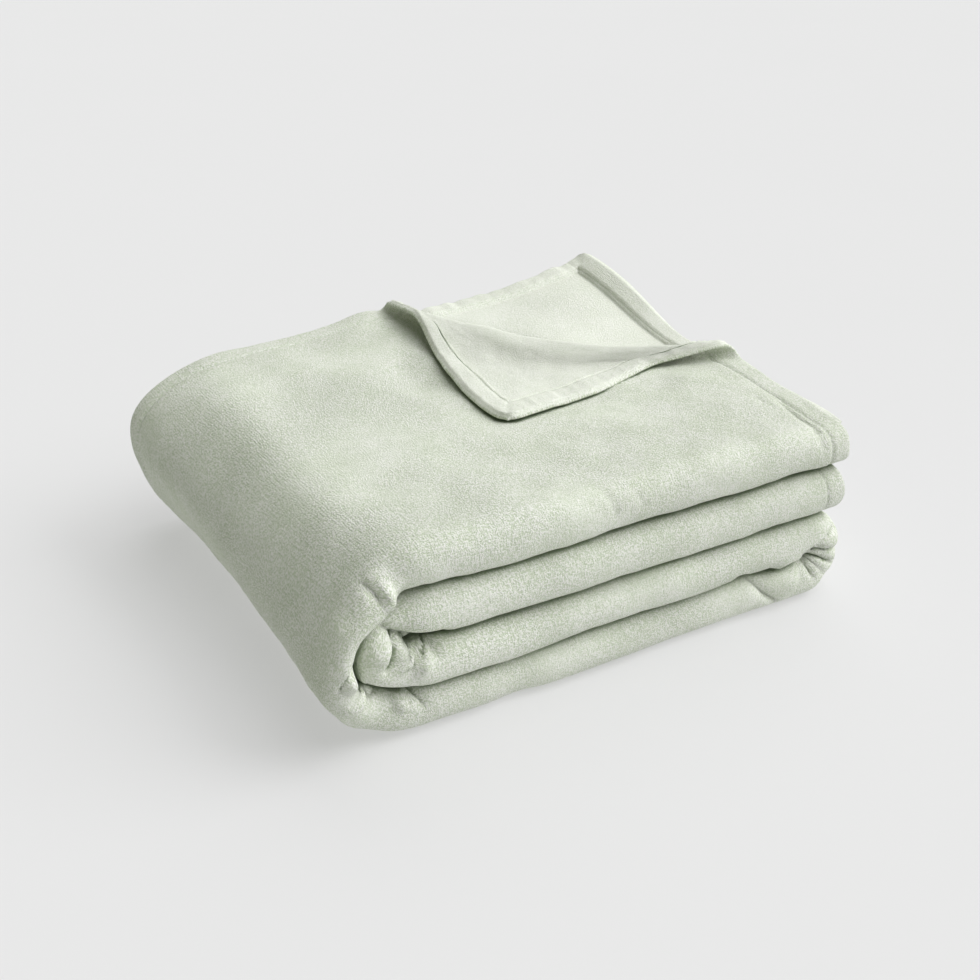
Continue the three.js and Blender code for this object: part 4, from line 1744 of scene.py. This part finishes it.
@dataclass(frozen=True)
class WovenCotton:
    """The throw's cloth: a pale sage melange in a coarse plain weave, soft and matt, with shade painted
    into its colour where layers close on each other.

    Args:
        weave: the shared weave.
        yarn: its darker yarn.
        pale: its paler yarn.
        shade: painted shade in the gaps between yarns.
        soft: the brushed wrong side.
        deep: the painted shade colour of the cloth where layers close on each other.
        pitch: distance from yarn to yarn, in metres.
        slub: how high its slubs stand.
        mottle: strength of its wide mottle.
        bump: how high the weave stands, in metres.
        brushed: how far the wrong side is brushed.
        painted_shade_cover: how closely cloth is covered where the painted shade starts and ends.
        painted_shade_dark: how dark the painted shade gets there.
        rough: roughness between the fuzzy places, and how much less they have.
        shine: the fibres' own gloss.
        sheen: strength of the fuzz that catches light.
        sheen_rough: how broad that is.
        sheen_tint: its colour.
    """

    weave: bpy.types.NodeTree
    yarn: Colour = (0.642, 0.702, 0.552, 1.0)
    pale: Colour = (0.922, 0.930, 0.876, 1.0)
    shade: Colour = (0.43, 0.52, 0.34, 1.0)
    soft: Colour = (0.955, 0.975, 0.890, 1.0)
    deep: Colour = (0.19, 0.26, 0.13, 1.0)
    pitch: float = 0.00115
    slub: float = 0.5
    mottle: float = 1.0
    bump: float = 0.0008
    brushed: float = 0.5
    painted_shade_cover: Pair = (0.2, 0.8)
    painted_shade_dark: float = 0.82
    rough: Pair = (0.97, 0.12)
    shine: float = 0.15
    sheen: float = 0.12
    sheen_rough: float = 0.6
    sheen_tint: Colour = (0.95, 0.97, 0.93, 1.0)

    def material(self) -> bpy.types.Material:
        """Makes the cloth's material, read from its own UV map and marks.

        Returns:
            The material.
        """
        made, n, shader = new_material("sage woven cotton")
        weave = n.feed(n.add("ShaderNodeGroup", node_tree=self.weave), {
            "Place": n.add("ShaderNodeUVMap", uv_map="cloth").outputs[0],
            "Yarn pitch": self.pitch, "Slub": self.slub, "Mottle": self.mottle,
            "Yarn colour": self.yarn, "Pale yarn colour": self.pale, "Shade colour": self.shade,
        }).outputs
        bump = n.feed(n.add("ShaderNodeBump"), {
            "Strength": 1.0, "Distance": self.bump, "Height": weave["Height"],
        })
        brushed = n.times(n.attribute("inside"), self.brushed)
        cloth = n.blend(brushed, weave["Colour"], self.soft)
        # painted shade: the cloth darkens towards the deep colour where other cloth closes over it
        painted_shade = n.times(n.ramp(n.attribute("painted_shade_cover"), *self.painted_shade_cover), self.painted_shade_dark)
        n.feed(shader, {
            "Base Color": n.blend(painted_shade, cloth, self.deep),
            "Roughness": n.less(self.rough[0], n.times(weave["Fuzz"], self.rough[1])),
            "Normal": bump.outputs[0],
            "Specular IOR Level": self.shine,
            "Sheen Weight": self.sheen,
            "Sheen Roughness": self.sheen_rough,
            "Sheen Tint": self.sheen_tint,
        })
        return made


@dataclass(frozen=True)
class SewingThread:
    """The hem's sewing thread: twisted cotton, a little paler than the cloth.

    Args:
        light: painted highlight on the crown of a ply.
        dark: painted shade in the groove between plies.
        twist: scale of the twist, in bands to a metre.
        uneven: how uneven the twist is.
        ply_soft: the twist between which a groove goes over into a crown.
        bump: how high a ply stands, in metres.
        rough: its roughness.
    """

    light: Colour = (0.80, 0.84, 0.76, 1.0)
    dark: Colour = (0.52, 0.57, 0.48, 1.0)
    twist: float = 900.0
    uneven: float = 1.5
    ply_soft: Pair = (0.2, 0.8)
    bump: float = 0.0002
    rough: float = 0.75

    def material(self) -> bpy.types.Material:
        """Makes the thread's material, with its twist as fine bands of painted shade and highlight.

        Returns:
            The material.
        """
        made, n, shader = new_material("sage sewing thread")
        twist = n.feed(n.add("ShaderNodeTexWave", bands_direction="DIAGONAL"), {
            "Vector": n.add("ShaderNodeTexCoord").outputs["Object"],
            "Scale": self.twist, "Distortion": self.uneven,
        }).outputs["Fac"]
        bump = n.feed(n.add("ShaderNodeBump"), {"Distance": self.bump, "Height": twist})
        n.feed(shader, {
            # painted shade in the grooves and painted highlight on the crowns of the plies
            "Base Color": n.blend(n.ramp(twist, *self.ply_soft), self.dark, self.light),
            "Normal": bump.outputs[0],
            "Roughness": self.rough,
        })
        return made


@dataclass(frozen=True)
class StudioFloor:
    """A plain pale floor, lit a little from within so that shadows on it stay light.

    Args:
        light: its paler tone.
        dark: its darker tone.
        glow: how much it is lit from within.
        scale: scale of the change between its tones, in cells to a metre.
    """

    light: Colour = (0.382, 0.382, 0.386, 1.0)
    dark: Colour = (0.374, 0.374, 0.378, 1.0)
    glow: float = 0.40
    scale: float = 3.0

    def material(self) -> bpy.types.Material:
        """Makes the floor's material.

        Returns:
            The material.
        """
        made, n, shader = new_material("pale studio floor")
        where = n.add("ShaderNodeTexCoord").outputs["Object"]
        n.feed(shader, {
            "Base Color": n.blend(n.noise(where, self.scale), self.dark, self.light),
            "Emission Color": (1.0, 1.0, 1.0, 1.0),
            "Emission Strength": self.glow,
            "Roughness": 1.0,
            "Specular IOR Level": 0.0,
        })
        return made


def stitch_tree(finish: bpy.types.Material) -> bpy.types.NodeTree:
    """A tree that lays one row of lockstitches along each run of edges.

    Args:
        finish: the thread's material.

    Returns:
        The tree, with its stitch sizes as named inputs.
    """
    tree = bpy.data.node_groups.new("hem stitches", "GeometryNodeTree")
    make = tree.interface.new_socket
    make("Path", in_out="INPUT", socket_type="NodeSocketGeometry")
    for name in ("Pitch", "Length", "Thread", "Shortest", "Longest"):
        make(name, in_out="INPUT", socket_type="NodeSocketFloat")
    make("Seed", in_out="INPUT", socket_type="NodeSocketInt")
    make("Stitches", in_out="OUTPUT", socket_type="NodeSocketGeometry")
    n = Nodes(tree)
    given, result = n.add("NodeGroupInput").outputs, n.add("NodeGroupOutput")
    path = n.feed(n.add("GeometryNodeMeshToCurve"), {"Mesh": given["Path"]})
    spaced = n.feed(n.add("GeometryNodeResampleCurve", mode="LENGTH"), {
        "Curve": path.outputs[0], "Length": given["Pitch"],
    })
    ball = n.feed(n.add("GeometryNodeMeshUVSphere"), {"Segments": 6, "Rings": 4, "Radius": 0.5})
    lie = n.feed(n.add("GeometryNodeInputNamedAttribute", data_type="FLOAT_VECTOR"), {"Name": "lie"})
    along = n.feed(n.add("FunctionNodeAlignRotationToVector", axis="X"), {
        "Vector": n.add("GeometryNodeInputTangent").outputs[0],
    })
    flat = n.feed(n.add("FunctionNodeAlignRotationToVector", axis="Z", pivot_axis="X"), {
        "Rotation": along.outputs[0], "Vector": lie.outputs[0],
    })
    vary = n.feed(n.add("FunctionNodeRandomValue", data_type="FLOAT"), {
        2: given["Shortest"], 3: given["Longest"], "Seed": given["Seed"],
    })
    long = n.times(given["Length"], vary.outputs[1])
    lay = n.feed(n.add("GeometryNodeInstanceOnPoints"), {
        "Points": spaced.outputs[0], "Instance": ball.outputs["Mesh"],
        "Rotation": flat.outputs[0], "Scale": n.place(long, given["Thread"], given["Thread"]),
    })
    real = n.feed(n.add("GeometryNodeRealizeInstances"), {0: lay.outputs[0]})
    dress = n.feed(n.add("GeometryNodeSetMaterial"), {
        "Geometry": real.outputs[0], "Material": finish,
    })
    n.feed(result, {0: dress.outputs[0]})
    return tree


def link(name: str, data: bpy.types.ID) -> bpy.types.Object:
    """Adds an object for a mesh, a light or a camera to the scene, at the origin."""
    made = bpy.data.objects.new(name, data)
    bpy.context.scene.collection.objects.link(made)
    return made


@dataclass
class ThrowCloth:
    """The throw itself: one cloth with its hems, folded into sixteen layers.

    Args:
        sheet: the folded sheet.
        finish: the cloth's finish.
        name: the piece's name.
    """

    sheet: FoldedSheet
    finish: WovenCotton
    name: str = "throw_cloth_piece"

    def build(self) -> bpy.types.Object:
        """Makes the cloth and its material.

        Returns:
            The piece.
        """
        made = link(self.name, SheetGrid(self.sheet).mesh(self.name))
        made.data.materials.append(self.finish.material())
        return made


@dataclass
class HemStitching:
    """The row of stitches that holds each hem, on both sides of the cloth, in millimetres.

    Args:
        sheet: the folded sheet.
        finish: the thread's finish.
        pitch: from stitch to stitch.
        stitch: length of a stitch.
        vary: the shortest and longest share of it that a stitch may have.
        thread: thickness of the thread.
        proud: how far over the cloth its middle lies.
        path_gap: from point to point of the line that the stitches follow.
        seed: seed of their lengths.
        name: the piece's name.
    """

    sheet: FoldedSheet
    finish: SewingThread
    pitch: float = 3.4
    stitch: float = 2.6
    vary: Pair = (0.88, 1.08)
    thread: float = 0.45
    proud: float = 0.05
    path_gap: float = 2.0
    seed: int = 3
    name: str = "hem_stitching"

    def path(self) -> bpy.types.Mesh:
        """Draws the lines that the stitches follow round the sheet, on both its sides.

        Returns:
            The lines as edges, with the direction out of the cloth as an attribute.
        """
        sheet, inset = self.sheet, self.sheet.hem.seam
        far_u, far_v = sheet.across.long - inset, sheet.along.long - inset
        us, vs = steps(inset, far_u, self.path_gap), steps(inset, far_v, self.path_gap)
        loop = [(u, inset) for u in us] + [(far_u, v) for v in vs[1:]]
        loop += [(u, far_v) for u in reversed(us[:-1])] + [(inset, v) for v in reversed(vs[1:-1])]
        u, v = np.array(loop).T
        points, ways = zip(*(sheet.offset(u, v, side, lift=self.proud) for side in Side))
        count = len(loop)
        edges = [(k, (k + 1) % count) for k in range(count)]
        edges += [(count + a, count + b) for a, b in edges]
        mesh = bpy.data.meshes.new("stitch lines")
        mesh.from_pydata(sheet.to_frame(np.concatenate(points)).tolist(), edges, [])
        lie = mesh.attributes.new("lie", "FLOAT_VECTOR", "POINT")
        lie.data.foreach_set("vector", np.concatenate(ways).ravel())
        return mesh

    def build(self) -> bpy.types.Object:
        """Sews the hems.

        Returns:
            The stitches as one plain mesh.
        """
        line = link("stitch lines", self.path())
        tree = stitch_tree(self.finish.material())
        modifier = line.modifiers.new("stitches", "NODES")
        modifier.node_group = tree
        values = {
            "Pitch": self.pitch * MM, "Length": self.stitch * MM, "Thread": self.thread * MM,
            "Shortest": self.vary[0], "Longest": self.vary[1], "Seed": self.seed,
        }
        for item in tree.interface.items_tree:
            if item.name in values:
                modifier[item.identifier] = values[item.name]
        depsgraph = bpy.context.evaluated_depsgraph_get()
        mesh = bpy.data.meshes.new_from_object(line.evaluated_get(depsgraph))
        mesh.name = self.name
        mesh.shade_smooth()
        bpy.data.objects.remove(line)
        return link(self.name, mesh)


@dataclass(frozen=True)
class Lamp:
    """One broad, distant lamp.

    Args:
        name: its name.
        turn: where it stands round the object, in degrees.
        height: its height above the horizon, in degrees.
        power: its strength.
        spread: how broad it looks from the object, in degrees.
        colour: its colour.
    """

    name: str
    turn: float
    height: float
    power: float
    spread: float
    colour: tuple[float, float, float] = (1.0, 1.0, 1.0)


@dataclass
class Studio:
    """The floor, the lights and the camera, in metres and degrees.

    Args:
        target: where the camera looks.
        distance: how far it stands from there.
        azimuth: where it stands round the object; 0 is in front and 90 at the right.
        elevation: its height above the horizon.
        focal_px: focal length, in pixels of the photograph.
        centre_px: the pixel that the camera's axis meets.
        frame_px: width and height of the photograph, in pixels.
        sensor: width of the sensor, in millimetres.
        clip: the nearest and farthest that the camera sees.
        ambient: strength of the even surround.
        ambient_colour: its colour.
        lamps: the lamps.
        floor_half: half the floor's width.
        floor_cells: how many cells it has each way.
    """

    target: tuple[float, float, float] = (0.00009, -0.00253, 0.05753)
    distance: float = 1.00923
    azimuth: float = -30.961
    elevation: float = 27.683
    focal_px: float = 1447.0
    centre_px: Pair = (482.14, 485.66)
    frame_px: float = 980.0
    sensor: float = 36.0
    clip: Pair = (0.02, 60.0)
    ambient: float = 0.14
    ambient_colour: Colour = (0.98, 1.0, 0.95, 1.0)
    lamps: tuple[Lamp, ...] = (
        Lamp("key", turn=64.0, height=36.0, power=1.82, spread=45.0),
        Lamp("top", turn=45.0, height=68.0, power=1.08, spread=55.0),
        Lamp("back", turn=130.0, height=45.0, power=1.0, spread=55.0),
        Lamp("front", turn=12.0, height=30.0, power=0.35, spread=60.0),
        Lamp("left bounce", turn=-105.0, height=14.0, power=0.14, spread=60.0, colour=(0.8, 1.0, 0.25)),
    )
    floor_half: float = 14.0
    floor_cells: int = 4

    def way(self, azimuth: float, elevation: float) -> Vector:
        """The direction from the object to a place round it."""
        a, e = math.radians(azimuth), math.radians(elevation)
        return Vector((math.sin(a) * math.cos(e), -math.cos(a) * math.cos(e), math.sin(e)))

    def floor(self) -> bpy.types.Object:
        """Lays a wide floor whose edges are far outside the photograph's frame.

        Returns:
            The floor.
        """
        cells, row = range(self.floor_cells), self.floor_cells + 1
        line = np.linspace(-self.floor_half, self.floor_half, row)
        points = [(float(x), float(y), 0.0) for y in line for x in line]
        corners = [j * row + i for j in cells for i in cells]
        mesh = bpy.data.meshes.new("studio_floor")
        mesh.from_pydata(points, [], [(k, k + 1, k + row + 1, k + row) for k in corners])
        mesh.materials.append(StudioFloor().material())
        made = link("studio_floor", mesh)
        return made

    def lights(self) -> None:
        """Puts broad lamps round the object, in an even surround."""
        world = bpy.data.worlds.new("studio")
        world.use_nodes = True
        back = world.node_tree.nodes["Background"]
        back.inputs["Color"].default_value = self.ambient_colour
        back.inputs["Strength"].default_value = self.ambient
        bpy.context.scene.world = world
        for lamp in self.lamps:
            data = bpy.data.lights.new(lamp.name, "SUN")
            data.energy = lamp.power
            data.color = lamp.colour
            data.angle = math.radians(lamp.spread)
            made = link(lamp.name, data)
            made.rotation_mode = "QUATERNION"
            made.rotation_quaternion = self.way(lamp.turn, lamp.height).to_track_quat("Z", "Y")

    def camera(self) -> bpy.types.Object:
        """Sets up the camera at the photograph's viewing angle.

        Returns:
            The camera.
        """
        data = bpy.data.cameras.new("camera")
        data.sensor_width = self.sensor
        data.lens = self.sensor * self.focal_px / self.frame_px
        data.shift_x = (self.frame_px / 2 - self.centre_px[0]) / self.frame_px
        data.shift_y = (self.centre_px[1] - self.frame_px / 2) / self.frame_px
        data.clip_start, data.clip_end = self.clip
        made = link("camera", data)
        back = self.way(self.azimuth, self.elevation)
        made.location = Vector(self.target) + back * self.distance
        made.rotation_mode = "QUATERNION"
        made.rotation_quaternion = back.to_track_quat("Z", "Y")
        bpy.context.scene.camera = made
        return made

    def build(self) -> None:
        """Sets up the studio."""
        self.floor()
        self.lights()
        self.camera()
        view = bpy.context.scene.view_settings
        view.view_transform = "Standard"
        view.look = "None"


def main() -> None:
    """Builds the studio, the cloth and its sewing, and reports each piece."""
    logging.basicConfig(level=logging.INFO, format="%(message)s")
    Studio().build()
    log.info("studio ready")
    sheet = FoldedSheet(PackSizes())
    cloth = ThrowCloth(sheet, WovenCotton(PlainWeave().group())).build()
    log.info("%s: %d faces", cloth.name, len(cloth.data.polygons))
    sewing = HemStitching(sheet, SewingThread()).build()
    log.info("%s: %d faces", sewing.name, len(sewing.data.polygons))
    for piece in (cloth, sewing):
        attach(piece, BODY)
    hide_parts("throw")


if __name__ == "__main__":
    main()
